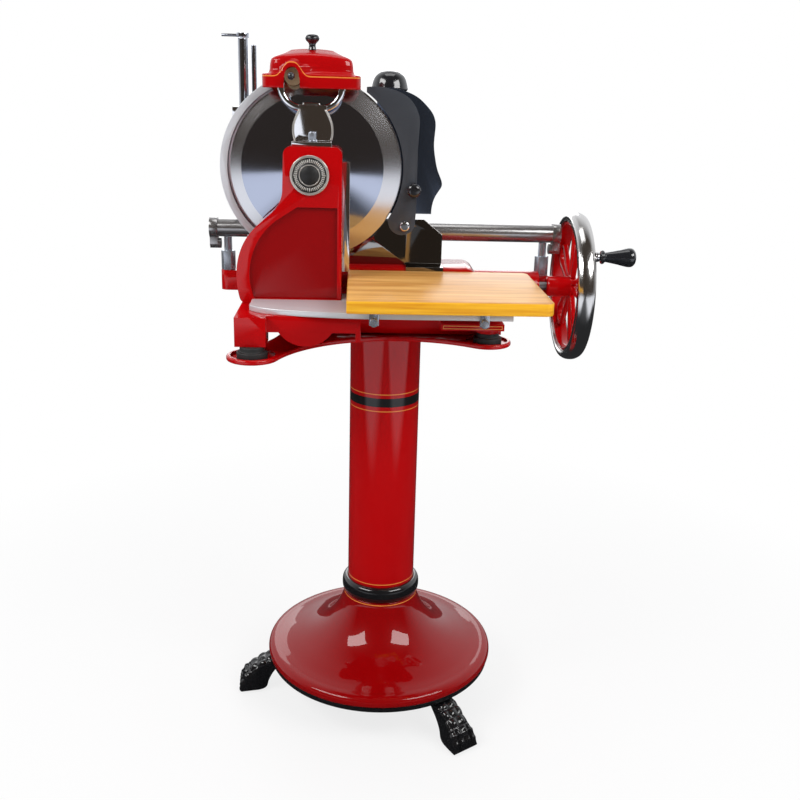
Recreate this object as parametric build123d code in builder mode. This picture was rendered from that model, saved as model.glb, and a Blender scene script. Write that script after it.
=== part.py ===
"""Hand cranked flywheel meat slicer on its pedestal, in millimetres.

Frame: the origin is on the floor under the pedestal column's axis, X runs to the flywheel,
Y away from the operator and Z up. The blade turns in the plane BLADE_Y, about an axis along Y.
The flywheel turns about an axis along X. A pair of bevel gears and a train of four spur gears
lead from the flywheel to the blade, and a crank with a slotted lever leads to the carriage.
"""

from build123d import *
import os
from math import acos, asin, atan2, cos, pi, radians, sin, sqrt, tan

os.makedirs("parts", exist_ok=True)

# ---------------------------------------------------------------- driving sizes
SEAT = 0.15  # gap round a part that sits still in its seat
RUN = 0.05  # radial clearance of a running fit
MOVE = 0.5  # gap beside a part that moves
SLIDE = 0.3  # gap of a flat slide

# pedestal
PAW_COUNT = 3
PAW_FIRST_ANGLE = 184
PAW_REACH = 274
PAW_WIDTH = 56
PAW_HEIGHT = 72
PAW_TOES = 4
BASE_PLATE_R = 212
BASE_PLATE_T = 11
DISH_R = 215
DISH_HEIGHT = 125
DISH_WALL = 7
DISH_NECK_R = 69
COLUMN_R = 62.5
COLUMN_WALL = 4
COLUMN_LENGTH = 522
COLUMN_SEAT_DEPTH = 14
COLLAR_R = 73
COLLAR_HEIGHT = 30
TIE_ROD_R = 8
NUT_FLATS = 24
NUT_T = 13
TOP_PLATE_T = 8
LOBE_R = 41
LOBE_RIM = 6
LOBE_RECESS = 4
LOBE_BACK = 9  # the front lobes lie this far behind their feet
FOOT_PLACES = {
    "front_left": (-214, -215),
    "front_right": (168, -98),
    "rear_right": (168, 110),
    "rear_left": (-200, 130),
}
EDGE_HOLLOWS = {"front": 205, "right": 110, "rear": 205, "left": 200}
FOOT_R = 24
FOOT_TIP_R = 19
FOOT_HEIGHT = 20
FOOT_TIER = 12
# tops of the rubber feet, from which the slicer's heights are given
SLICER_Z = PAW_HEIGHT + BASE_PLATE_T + DISH_HEIGHT - COLUMN_SEAT_DEPTH + COLUMN_LENGTH
SLICER_Z += TOP_PLATE_T - LOBE_RECESS + FOOT_HEIGHT

# base casting
CAST_WALL = 8
WING_LEFT = -240
WING_RIGHT = -46
WING_FRONT = -208
WING_TOP = SLICER_Z + 46
WING_T = 26
BOX_RIGHT = 195
BOX_FRONT = -70
BOX_REAR = 80
BOX_BOTTOM = SLICER_Z - 12
DECK_LEFT = -182
DECK_RIGHT = 158
DECK_FRONT = -28
DECK_TOP = SLICER_Z + 92
DECK_CORNER = 22
TUNNEL_R = 26
TUNNEL_END = 268
PAD_LEFT = 87
PAD_RIGHT = 192
PAD_FRONT = -124
PAD_TOP = SLICER_Z + 18
PAD_T = 11
REAR_PAD_T = 14

# tray and board
TRAY_TOP = SLICER_Z + 55
TRAY_T = 9
TRAY_LEFT = -222
TRAY_RIGHT = 190
TRAY_FRONT = -222
BOARD_T = 20
BOARD_LIFT = 14
BOARD_LEFT = -68
BOARD_RIGHT = 240
BOARD_FRONT = -290
BOARD_REAR = -32
CLIP_PLACES = (-26, 145)
CLIP_WIDTH = 15
CLIP_T = 3

# drive
SHAFT_Y = 20
SHAFT_Z = SLICER_Z + 57
SHAFT_R = 7.5
BEARING_R = 14
BEARING_T = 8
BLADE_X = -129
BEVEL_TEETH = 20
BEVEL_MODULE = 2.5
BEVEL_FACE = 0.62
SPUR_MODULE = 3
DRIVER_TEETH = 26
IDLER_TEETH = 23
BLADE_GEAR_TEETH = 14
GEAR_FRONT = -68
GEAR_T = 12
CRANK_THROW = 34
CRANK_DISC_R = 44
LEVER_PIVOT_Z = SLICER_Z + 4
LEVER_T = 8
LEVER_WIDTH = 26
RAIL_MIDSTROKE = 65

# flywheel
WHEEL_LEFT = 315
WHEEL_RIGHT = 345
WHEEL_R = 130
WHEEL_RIM_T = 15
SPOKE_COUNT = 5
SPOKE_T = 9
HUB_R = 18
HUB_LEFT = 284
HANDLE_R = 120
HANDLE_ANGLE = 145
STEM_R = 5
SHANK_R = 4
GRIP_LENGTH = 60
GRIP_R = 16

# blade and its column
BLADE_R = 150
BLADE_Y = 0
BLADE_DISH = 18
BLADE_T = 4
HUB_FLANGE_R = 34
COLUMN_FRONT = -118
COLUMN_BACK = -37
CASE_WALL = 7
CASE_RIGHT = -78
CASE_TOP = SLICER_Z + 295
CASE_TOP_LEFT = -170
BACK_PLATE_T = 8
BADGE_R = 31
BADGE_T = 4
GUARD_R = 154
GUARD_WIDTH = 12
GUARD_T = 5
GUARD_WALL = 2
GUARD_FROM = 118
GUARD_TO = 231

# gauge plate and mirror plate
GAUGE_GAP = 2.5
GAUGE_T = 6
GAUGE_BACK = -1
GAUGE_TRAVEL = 10
MIRROR_Y = 12
MIRROR_T = 3
MIRROR_TOP = SLICER_Z + 171
MIRROR_RIGHT = 95

# sharpener
COVER_LEFT = -209
COVER_RIGHT = -46
COVER_BOTTOM = SLICER_Z + 382
COVER_SKIRT = 20
COVER_TOP = SLICER_Z + 441
COVER_REAR = 40
COVER_WALL = 4
SHARPENER_DROP = 6
KNOB_R = 11.5
KNOB_HEIGHT = 25
STONE_R = 14
STONE_T = 9
STONE_X = 31
STONE_Z = SLICER_Z + 400
STONE_PIN_R = 3

# carriage and its ways
RAIL_Y = 60
RAIL_Z = SLICER_Z + 144
RAIL_R = 15.5
RAIL_BORE = 11
RAIL_LEFT = -299
RAIL_RIGHT = 297
CAP_R = 18
CAP_T = 14
PILLAR_LEFT = -282
PILLAR_RIGHT = 281
PILLAR_R = 7
HEX_FLATS = 22
HEX_HEIGHT = 34
SLEEVE_R = 25
SLEEVE_LEFT = -226
SLEEVE_LENGTH = 190
CARRIAGE_T = 12
CARRIAGE_REAR = 200
GUIDE_Y = 138
GUIDE_WIDTH = 14
GUIDE_T = 12
GUIDE_LIFT = 5
TABLE_LEFT = -272
TABLE_RIGHT = 45
TABLE_FRONT = 42
TABLE_REAR = 225
TABLE_T = 10
FENCE_T = 5
FENCE_FRONT = 34
FENCE_KNOB_R = 32
FENCE_KNOB_TOP = SLICER_Z + 415
POST_Y = 150
POSTS = {-258: 9, -239: 4.7}
POST_TOPS = {-258: SLICER_Z + 464, -239: SLICER_Z + 453}
PRESS_Z = SLICER_Z + 328
PRESS_T = 20
PRESS_REACH = 150
SCREW_R = 5

# ---------------------------------------------------------------- heights that follow
base_plate_z = PAW_HEIGHT
dish_z = base_plate_z + BASE_PLATE_T
dish_top = dish_z + DISH_HEIGHT
column_z = dish_top - COLUMN_SEAT_DEPTH
column_top = column_z + COLUMN_LENGTH
plate_top = column_top + TOP_PLATE_T
foot_z = plate_top - LOBE_RECESS
foot_top = foot_z + FOOT_HEIGHT
board_z = TRAY_TOP + BOARD_LIFT
rim_inner = WHEEL_R - WHEEL_RIM_T
driver_r = SPUR_MODULE * DRIVER_TEETH / 2
idler_r = SPUR_MODULE * IDLER_TEETH / 2
blade_gear_r = SPUR_MODULE * BLADE_GEAR_TEETH / 2
idler_low_z = SHAFT_Z + driver_r + idler_r
idler_high_z = idler_low_z + 2 * idler_r
blade_z = idler_high_z + idler_r + blade_gear_r
bevel_r = BEVEL_MODULE * BEVEL_TEETH / 2
table_z = RAIL_Z + SLEEVE_R + CARRIAGE_T + MOVE
table_top = table_z + TABLE_T


def front(y):
    """The upright plane at depth y that faces the operator: its own x is X and its own y is Z."""
    return Plane.XZ.offset(-y)


def side(x):
    """The upright plane at x that faces the flywheel: its own x is Y and its own y is Z."""
    return Plane.YZ.offset(x)


def rect(left, low, right, high):
    """A rectangle by its corners, in the sketch that is open."""
    with Locations(((left + right) / 2, (low + high) / 2)):
        Rectangle(right - left, high - low)


def disc(x, y, radius, mode=Mode.ADD):
    """A circle at x, y, in the sketch that is open."""
    with Locations((x, y)):
        Circle(radius, mode=mode)


# ---------------------------------------------------------------- lion-paw feet
SOLE_BACK = 222
TOE_R = 8
with BuildPart() as paw_feet:
    for number in range(PAW_COUNT):
        angle = radians(PAW_FIRST_ANGLE + 360 / PAW_COUNT * number)
        upright = Plane(
            origin=(0, 0, 0),
            x_dir=(cos(angle), sin(angle), 0),
            z_dir=(sin(angle), -cos(angle), 0),
        )
        with BuildSketch(upright) as paw_outline:
            with BuildLine():
                Line((SOLE_BACK, 0), (PAW_REACH, 0))
                Line((PAW_REACH, 0), (PAW_REACH, 10))
                Spline(
                    (PAW_REACH, 10),
                    (PAW_REACH - 6, 30),
                    (PAW_REACH - 26, 46),
                    (DISH_R, PAW_HEIGHT - 14),
                    (BASE_PLATE_R - 4, PAW_HEIGHT),
                )
                Line((BASE_PLATE_R - 4, PAW_HEIGHT), (BASE_PLATE_R - 48, PAW_HEIGHT))
                Spline((BASE_PLATE_R - 48, PAW_HEIGHT), (SOLE_BACK - 16, 50), (SOLE_BACK, 14))
                Line((SOLE_BACK, 14), (SOLE_BACK, 0))
            make_face()
        extrude(amount=PAW_WIDTH / 2 - TOE_R / 2, both=True)
        for toe in range(PAW_TOES):
            across = (toe / (PAW_TOES - 1) - 0.5) * (PAW_WIDTH - 2 * TOE_R)
            toe_back = upright.offset(across)
            with BuildSketch(toe_back) as toe_outline:
                with BuildLine():
                    ThreePointArc(
                        (PAW_REACH - 3 * TOE_R, 20), (PAW_REACH - TOE_R, 24), (PAW_REACH + 2, 8)
                    )
                    Line((PAW_REACH + 2, 8), (PAW_REACH + 2, 0))
                    Line((PAW_REACH + 2, 0), (PAW_REACH - 3 * TOE_R, 0))
                    Line((PAW_REACH - 3 * TOE_R, 0), (PAW_REACH - 3 * TOE_R, 20))
                make_face()
            extrude(amount=TOE_R * 0.8, both=True)
paw_feet.part.label = "paw_feet"
export_step(paw_feet.part, "parts/paw_feet.step")

# ---------------------------------------------------------------- base plate
with BuildPart() as base_plate:
    with BuildSketch(Plane.XY.offset(base_plate_z)):
        Circle(BASE_PLATE_R)
        Circle(TIE_ROD_R + SEAT, mode=Mode.SUBTRACT)
    extrude(amount=BASE_PLATE_T)
base_plate.part.label = "base_plate"
export_step(base_plate.part, "parts/base_plate.step")

# ---------------------------------------------------------------- bell shaped dish
DISH_EDGE = 9  # upright part of the rim
DISH_SHOULDER = 19
flare = (
    (DISH_NECK_R + 5, DISH_HEIGHT - 20),
    (DISH_NECK_R + 22, DISH_HEIGHT - 50),
    (DISH_NECK_R + 52, DISH_HEIGHT - 79),
    (DISH_R - 55, DISH_SHOULDER + 9),
    (DISH_R - 20, DISH_SHOULDER),
)
with BuildPart() as pedestal_dish:
    with BuildSketch(Plane.XZ) as dish_profile:
        with BuildLine():
            Polyline(
                (0, dish_top),
                (0, dish_z),
                (DISH_R, dish_z),
                (DISH_R, dish_z + DISH_EDGE),
            )
            ThreePointArc(
                (DISH_R, dish_z + DISH_EDGE),
                (DISH_R - 6, dish_z + DISH_SHOULDER - 3),
                (DISH_R - 20, dish_z + DISH_SHOULDER),
            )
            Spline(
                *[(r, dish_z + h) for r, h in reversed(flare)],
                (DISH_NECK_R, dish_top),
            )
            Line((DISH_NECK_R, dish_top), (0, dish_top))
        make_face()
        with BuildLine():
            Polyline(
                (COLUMN_R - DISH_WALL, dish_z),
                (DISH_R - DISH_WALL, dish_z),
                (DISH_R - DISH_WALL, dish_z + DISH_EDGE - 2),
                (DISH_R - 22, dish_z + DISH_SHOULDER - DISH_WALL),
            )
            Spline(*[(r - 0.6 * DISH_WALL, dish_z + h - DISH_WALL) for r, h in reversed(flare[1:4])])
            Line(
                (DISH_R - 22, dish_z + DISH_SHOULDER - DISH_WALL),
                (flare[3][0] - 0.6 * DISH_WALL, dish_z + flare[3][1] - DISH_WALL),
            )
            Polyline(
                (flare[1][0] - 0.6 * DISH_WALL, dish_z + flare[1][1] - DISH_WALL),
                (COLUMN_R - DISH_WALL, dish_top - COLUMN_SEAT_DEPTH - 16),
                (COLUMN_R - DISH_WALL, dish_z),
            )
        make_face(mode=Mode.SUBTRACT)
    revolve(axis=Axis.Z)
    with BuildSketch(Plane.XY.offset(dish_z)):
        Circle(COLUMN_R - DISH_WALL)
    extrude(amount=DISH_HEIGHT, mode=Mode.SUBTRACT)
    with BuildSketch(Plane.XY.offset(column_z)):
        Circle(COLUMN_R + SEAT)
    extrude(amount=COLUMN_SEAT_DEPTH, mode=Mode.SUBTRACT)
pedestal_dish.part.label = "pedestal_dish"
export_step(pedestal_dish.part, "parts/pedestal_dish.step")

# ---------------------------------------------------------------- collar, column, tie rod
with BuildPart() as collar_ring:
    with BuildSketch(Plane.XZ):
        with Locations(((COLUMN_R + SEAT + COLLAR_R) / 2, dish_top + COLLAR_HEIGHT / 2)):
            RectangleRounded(COLLAR_R - COLUMN_R - SEAT, COLLAR_HEIGHT, (COLLAR_R - COLUMN_R) * 0.45)
    revolve(axis=Axis.Z)
collar_ring.part.label = "collar_ring"
export_step(collar_ring.part, "parts/collar_ring.step")

with BuildPart() as pedestal_column:
    with BuildSketch(Plane.XY.offset(column_z)):
        Circle(COLUMN_R)
        Circle(COLUMN_R - COLUMN_WALL, mode=Mode.SUBTRACT)
    extrude(amount=COLUMN_LENGTH)
pedestal_column.part.label = "pedestal_column"
export_step(pedestal_column.part, "parts/pedestal_column.step")

ROD_BEYOND_NUT = 3
with BuildPart() as tie_rod:
    with BuildSketch(Plane.XY.offset(base_plate_z - NUT_T - ROD_BEYOND_NUT)):
        Circle(TIE_ROD_R)
    extrude(amount=plate_top - base_plate_z + 2 * NUT_T + 2 * ROD_BEYOND_NUT)
    for nut_bottom in (base_plate_z - NUT_T, plate_top):
        with BuildSketch(Plane.XY.offset(nut_bottom)):
            RegularPolygon(NUT_FLATS / 2, 6, major_radius=False)
            Circle(TIE_ROD_R + SEAT, mode=Mode.SUBTRACT)
        extrude(amount=NUT_T)
tie_rod.part.label = "tie_rod"
export_step(tie_rod.part, "parts/tie_rod.step")

# ---------------------------------------------------------------- four-lobed top plate
def hollow_edge(start, end, radius):
    """The hollow arc of this radius that touches two lobes from outside, as three points.

    Its centre lies LOBE_R + radius from both lobes' centres, on the right hand going from
    start to end.
    """
    (ax, ay), (bx, by) = start, end
    span = sqrt((bx - ax) ** 2 + (by - ay) ** 2)
    out = sqrt((radius + LOBE_R) ** 2 - (span / 2) ** 2)
    right = ((by - ay) / span, -(bx - ax) / span)
    centre = ((ax + bx) / 2 + right[0] * out, (ay + by) / 2 + right[1] * out)
    ends = []
    for x, y in (start, end):
        share = LOBE_R / (radius + LOBE_R)
        ends.append((x + (centre[0] - x) * share, y + (centre[1] - y) * share))
    middle = (centre[0] - right[0] * radius, centre[1] - right[1] * radius)
    return ends[0], middle, ends[1]


SPIGOT_HEIGHT = 12
with BuildPart() as top_plate:
    lobes = [(x, y + LOBE_BACK if y < 0 else y) for x, y in FOOT_PLACES.values()]
    hollows = [
        hollow_edge(lobes[i], lobes[(i + 1) % 4], radius)
        for i, radius in enumerate(EDGE_HOLLOWS.values())
    ]
    with BuildSketch(Plane.XY.offset(column_top)) as plate_outline:
        with BuildLine():
            for i, hollow in enumerate(hollows):
                ThreePointArc(*hollow)
                lobe = lobes[(i + 1) % 4]
                leave = hollows[(i + 1) % 4][0]
                reach = sqrt(lobe[0] ** 2 + lobe[1] ** 2)
                tip = (lobe[0] * (1 + LOBE_R / reach), lobe[1] * (1 + LOBE_R / reach))
                ThreePointArc(hollow[2], tip, leave)
        make_face()
    extrude(amount=TOP_PLATE_T)
    fillet(top_plate.faces().sort_by(Axis.Z)[-1].edges(), radius=3)
    fillet(top_plate.faces().sort_by(Axis.Z)[0].edges(), radius=3)
    with BuildSketch(Plane.XY.offset(column_top - SPIGOT_HEIGHT)):
        Circle(COLUMN_R - COLUMN_WALL - SEAT)
    extrude(amount=SPIGOT_HEIGHT)
    with BuildSketch(Plane.XY.offset(foot_z)):
        for lobe in lobes:
            disc(*lobe, LOBE_R - LOBE_RIM)
    extrude(amount=LOBE_RECESS, mode=Mode.SUBTRACT)
    with BuildSketch(Plane.XY.offset(column_top - SPIGOT_HEIGHT)):
        Circle(TIE_ROD_R + SEAT)
    extrude(amount=SPIGOT_HEIGHT + TOP_PLATE_T, mode=Mode.SUBTRACT)
top_plate.part.label = "top_plate"
export_step(top_plate.part, "parts/top_plate.step")

with BuildPart() as rubber_feet:
    for low, high, radius in ((foot_z, foot_z + FOOT_TIER, FOOT_R), (foot_z + FOOT_TIER, foot_top, FOOT_TIP_R)):
        with BuildSketch(Plane.XY.offset(low)):
            for place in FOOT_PLACES.values():
                disc(*place, radius)
        extrude(amount=high - low)
rubber_feet.part.label = "rubber_feet"
export_step(rubber_feet.part, "parts/rubber_feet.step")

# ---------------------------------------------------------------- base casting
FOOT_BLOCK = 48
BELLY_LEFT = -176
BELLY_RIGHT = -88
END_RIB_T = 8
HORN_R = 13
HORN_T = 35
HORN_RISE = 13  # tops of the horns above the wheel's shaft
GAUGE_STUD = (28, SLICER_Z + 161)
GAUGE_POST_R = 11
GAUGE_POST_T = 14
GAUGE_POST_REAR = 32
pillar_foot = SHAFT_Z + HORN_RISE
wing_under = WING_TOP - WING_T
with BuildPart() as slicer_base:
    # wing under the blade column, with its foot block, hanging belly and end rib
    with BuildSketch(Plane.XY.offset(wing_under)):
        rect(WING_LEFT, WING_FRONT, WING_RIGHT, BOX_FRONT)
    extrude(amount=WING_T)
    with BuildSketch(Plane.XY.offset(foot_top)):
        rect(WING_LEFT, WING_FRONT - 16, WING_LEFT + FOOT_BLOCK, WING_FRONT + 34)
    extrude(amount=WING_TOP - foot_top)
    with BuildSketch(front(WING_FRONT + CAST_WALL)):
        with BuildLine():
            ThreePointArc(
                (BELLY_LEFT, wing_under + 4),
                ((BELLY_LEFT + BELLY_RIGHT) / 2, foot_top - 2),
                (BELLY_RIGHT, wing_under + 4),
            )
            Line((BELLY_RIGHT, wing_under + 4), (BELLY_LEFT, wing_under + 4))
        make_face()
        rect(WING_RIGHT - END_RIB_T, foot_top + 6, WING_RIGHT, WING_TOP)
    extrude(amount=CAST_WALL)
    # box with the drive deck on it
    with BuildSketch(Plane.XY.offset(BOX_BOTTOM)):
        rect(WING_LEFT, BOX_FRONT, BOX_RIGHT, BOX_REAR)
    extrude(amount=SHAFT_Z - BOX_BOTTOM)
    with BuildSketch(Plane.XY.offset(SHAFT_Z)):
        rect(DECK_LEFT, DECK_FRONT, DECK_RIGHT, BOX_REAR)
    extrude(amount=DECK_TOP - SHAFT_Z)
    fillet(
        slicer_base.edges().filter_by(Axis.Y).group_by(Axis.Z)[-1].sort_by(Axis.X)[-1], radius=DECK_CORNER
    )
    # pads over the three feet that the wing doesn't reach
    with BuildSketch(Plane.XY.offset(PAD_TOP - PAD_T)):
        rect(PAD_LEFT, PAD_FRONT, PAD_RIGHT, BOX_FRONT + CAST_WALL)
    extrude(amount=PAD_T)
    with BuildSketch(Plane.XY.offset(foot_top)):
        disc(*FOOT_PLACES["front_right"], FOOT_TIP_R + 1)
    extrude(amount=PAD_TOP - PAD_T - foot_top)
    for corner in ("rear_right", "rear_left"):
        foot_x, foot_y = FOOT_PLACES[corner]
        with BuildSketch(Plane.XY.offset(foot_top)):
            rect(foot_x - FOOT_R, BOX_REAR - CAST_WALL, foot_x + FOOT_R, foot_y + FOOT_R)
        extrude(amount=REAR_PAD_T)
    # hollow of box and deck, open below, and the gear slot through the wing
    with BuildSketch(Plane.XY.offset(BOX_BOTTOM)):
        rect(WING_LEFT + CAST_WALL, BOX_FRONT + CAST_WALL, BOX_RIGHT - CAST_WALL, BOX_REAR - CAST_WALL)
    extrude(amount=SHAFT_Z - BOX_BOTTOM - CAST_WALL, mode=Mode.SUBTRACT)
    with BuildSketch(Plane.XY.offset(BOX_BOTTOM)):
        rect(DECK_LEFT + CAST_WALL, DECK_FRONT + CAST_WALL, DECK_RIGHT - CAST_WALL, BOX_REAR - CAST_WALL)
    extrude(amount=DECK_TOP - BOX_BOTTOM - CAST_WALL / 2, mode=Mode.SUBTRACT)
    gear_room = driver_r + SPUR_MODULE + 2
    with BuildSketch(Plane.XY.offset(BOX_BOTTOM)):
        rect(BLADE_X - gear_room, GEAR_FRONT - 3, BLADE_X + gear_room, GEAR_FRONT + GEAR_T + 9)
        rect(BLADE_X - SHAFT_R - 4, GEAR_FRONT + GEAR_T, BLADE_X + SHAFT_R + 4, DECK_FRONT)
    extrude(amount=SHAFT_Z - BOX_BOTTOM, mode=Mode.SUBTRACT)
    # tunnel of the flywheel shaft with its end boss
    with BuildSketch(side(DECK_RIGHT - CAST_WALL)):
        disc(SHAFT_Y, SHAFT_Z, TUNNEL_R)
    extrude(amount=TUNNEL_END - DECK_RIGHT + CAST_WALL)
    # horns that carry the rail's pillars
    with BuildSketch(Plane.XY.offset(pillar_foot - HORN_T)):
        for pillar_x, inner_x, inner_y in (
            (PILLAR_LEFT, WING_LEFT + 1, RAIL_Y),
            (PILLAR_RIGHT, TUNNEL_END - TUNNEL_R, SHAFT_Y),
        ):
            with BuildLine():
                lean = atan2(inner_y - RAIL_Y, inner_x - pillar_x)
                across = (-sin(lean) * HORN_R, cos(lean) * HORN_R)
                Polyline(
                    (pillar_x + across[0], RAIL_Y + across[1]),
                    (inner_x + across[0], inner_y + across[1]),
                    (inner_x - across[0], inner_y - across[1]),
                    (pillar_x - across[0], RAIL_Y - across[1]),
                    close=True,
                )
            make_face()
            disc(pillar_x, RAIL_Y, HORN_R)
    extrude(amount=HORN_T)
    # boss of the cross shaft's front bearing, and the boss of the lever's pivot
    with BuildSketch(front(DECK_FRONT + CAST_WALL)):
        disc(BLADE_X, SHAFT_Z, BEARING_R + CAST_WALL)
    extrude(amount=CAST_WALL)
    with BuildSketch(front(BOX_REAR)):
        disc(BLADE_X, LEVER_PIVOT_Z, SCREW_R + CAST_WALL)
    extrude(amount=CAST_WALL)
    # post behind the mirror plate, in which the gauge plate's stud slides
    with BuildSketch(front(GAUGE_POST_REAR)):
        disc(*GAUGE_STUD, GAUGE_POST_R)
        rect(GAUGE_STUD[0] - GAUGE_POST_R, DECK_TOP, GAUGE_STUD[0] + GAUGE_POST_R, GAUGE_STUD[1])
    extrude(amount=GAUGE_POST_T)
    with BuildSketch(front(GAUGE_POST_REAR)):
        disc(*GAUGE_STUD, SCREW_R + RUN)
    extrude(amount=GAUGE_POST_T, mode=Mode.SUBTRACT)
    # bores
    with BuildSketch(side(DECK_RIGHT - CAST_WALL - 1)):
        disc(SHAFT_Y, SHAFT_Z, SHAFT_R + 1)
    extrude(amount=TUNNEL_END, mode=Mode.SUBTRACT)
    for bearing_x in (DECK_RIGHT - CAST_WALL, TUNNEL_END - BEARING_T):
        with BuildSketch(side(bearing_x)):
            disc(SHAFT_Y, SHAFT_Z, BEARING_R + SEAT)
        extrude(amount=BEARING_T, mode=Mode.SUBTRACT)
    for wall_rear in (BOX_REAR, DECK_FRONT + CAST_WALL):
        with BuildSketch(front(wall_rear)):
            disc(BLADE_X, SHAFT_Z, BEARING_R + SEAT)
        extrude(amount=CAST_WALL, mode=Mode.SUBTRACT)
    with BuildSketch(front(BOX_REAR)):
        disc(BLADE_X, LEVER_PIVOT_Z, SCREW_R + SEAT)
    extrude(amount=CAST_WALL, mode=Mode.SUBTRACT)
slicer_base.part.label = "slicer_base"
export_step(slicer_base.part, "parts/slicer_base.step")

# ---------------------------------------------------------------- receiving tray
TRAY_CORNER = 45
TRAY_STEP_Y = -124
with BuildPart() as receiving_tray:
    with BuildSketch(Plane.XY.offset(TRAY_TOP - TRAY_T)):
        with BuildLine():
            Polyline(
                (TRAY_LEFT, TRAY_STEP_Y),
                (TRAY_LEFT, TRAY_FRONT + TRAY_CORNER + 8),
            )
            Spline(
                (TRAY_LEFT, TRAY_FRONT + TRAY_CORNER + 8),
                (TRAY_LEFT + 12, TRAY_FRONT + 38),
                (TRAY_LEFT + 73, TRAY_FRONT + 14),
                (TRAY_LEFT + 152, TRAY_FRONT + 2),
                (TRAY_LEFT + 212, TRAY_FRONT),
            )
            Polyline(
                (TRAY_LEFT + 212, TRAY_FRONT),
                (TRAY_RIGHT, TRAY_FRONT),
                (TRAY_RIGHT, DECK_FRONT - SEAT),
                (CASE_RIGHT + MOVE, DECK_FRONT - SEAT),
                (CASE_RIGHT + MOVE, TRAY_STEP_Y),
                (TRAY_LEFT, TRAY_STEP_Y),
            )
        make_face()
    extrude(amount=TRAY_T)
    # two ribs under the board
    with BuildSketch(Plane.XY.offset(TRAY_TOP)):
        rect(BOARD_LEFT + 40, TRAY_FRONT + 12, BOARD_LEFT + 60, BOARD_REAR - 20)
        rect(TRAY_RIGHT - 60, TRAY_FRONT + 12, TRAY_RIGHT - 40, BOARD_REAR - 20)
    extrude(amount=BOARD_LIFT)
    # the box fills the rear of the outline
    with BuildSketch(Plane.XY.offset(TRAY_TOP - TRAY_T)):
        rect(CASE_RIGHT, BOX_FRONT - SEAT, BOX_RIGHT + 1, DECK_FRONT)
    extrude(amount=SHAFT_Z - TRAY_TOP + TRAY_T, mode=Mode.SUBTRACT)
receiving_tray.part.label = "receiving_tray"
export_step(receiving_tray.part, "parts/receiving_tray.step")

# ---------------------------------------------------------------- board and its clips
BOARD_ROUND = 14
with BuildPart() as wood_board:
    with BuildSketch(Plane.XY.offset(board_z)) as board_outline:
        with BuildLine():
            Polyline(
                (BOARD_LEFT, BOARD_FRONT),
                (BOARD_RIGHT, BOARD_FRONT),
                (BOARD_RIGHT, BOARD_REAR),
                (BOARD_LEFT, BOARD_REAR),
                close=True,
            )
        make_face()
        fillet(board_outline.vertices().group_by(Axis.X)[-1], radius=BOARD_ROUND)
    extrude(amount=BOARD_T)
wood_board.part.label = "wood_board"
export_step(wood_board.part, "parts/wood_board.step")

CLIP_DROP = 32
CLIP_SCREW_DROP = 27
SCREW_THREAD_R = 2.5
SCREW_HEAD_R = 7
SCREW_HEAD_T = 4
clip_front = TRAY_FRONT - MOVE - CLIP_T
with BuildPart() as board_clips:
    for clip_x in CLIP_PLACES:
        with BuildSketch(side(clip_x - CLIP_WIDTH / 2)):
            rect(BOARD_FRONT + 20, board_z - CLIP_T, clip_front + CLIP_T, board_z)
            rect(clip_front, board_z - CLIP_DROP, clip_front + CLIP_T, board_z)
        extrude(amount=CLIP_WIDTH)
    with BuildSketch(front(clip_front + CLIP_T)):
        for clip_x in CLIP_PLACES:
            disc(clip_x, board_z - CLIP_SCREW_DROP, SCREW_THREAD_R + SEAT)
    extrude(amount=CLIP_T, mode=Mode.SUBTRACT)
board_clips.part.label = "board_clips"
export_step(board_clips.part, "parts/board_clips.step")

# ---------------------------------------------------------------- bright bracket on the column's top
NECK_Y = -53
NECK_T = 5
NECK_LEFT = -158
NECK_RIGHT = -95
NECK_SHOULDER = 38
NECK_TOP = 62
NECK_FLANGE = 50
FLANGE_T = 7
BOLT_R = 6.5
BOLT_HEIGHT = 14
neck_middle = (NECK_LEFT + NECK_RIGHT) / 2
bolt_y = NECK_Y - NECK_FLANGE / 2
with BuildPart() as neck_bracket:
    with BuildSketch(Plane.XY.offset(CASE_TOP)):
        rect(NECK_LEFT, NECK_Y - NECK_FLANGE, NECK_RIGHT, NECK_Y + NECK_T)
        disc(neck_middle, bolt_y, TIE_ROD_R / 2 + SEAT, mode=Mode.SUBTRACT)
    extrude(amount=FLANGE_T)
    with BuildSketch(front(NECK_Y + NECK_T)):
        with BuildLine():
            ThreePointArc(
                (NECK_LEFT + 3, CASE_TOP),
                (NECK_LEFT, CASE_TOP + NECK_SHOULDER / 2),
                (NECK_LEFT + 9, CASE_TOP + NECK_SHOULDER + 14),
            )
            Polyline(
                (NECK_LEFT + 9, CASE_TOP + NECK_SHOULDER + 14),
                (NECK_LEFT + 9, CASE_TOP + NECK_TOP),
                (NECK_RIGHT - 9, CASE_TOP + NECK_TOP),
                (NECK_RIGHT - 9, CASE_TOP + NECK_SHOULDER + 14),
            )
            ThreePointArc(
                (NECK_RIGHT - 9, CASE_TOP + NECK_SHOULDER + 14),
                (NECK_RIGHT, CASE_TOP + NECK_SHOULDER / 2),
                (NECK_RIGHT - 3, CASE_TOP),
            )
            Line((NECK_RIGHT - 3, CASE_TOP), (NECK_LEFT + 3, CASE_TOP))
        make_face()
    extrude(amount=NECK_T)
neck_bracket.part.label = "neck_bracket"
export_step(neck_bracket.part, "parts/neck_bracket.step")

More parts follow.
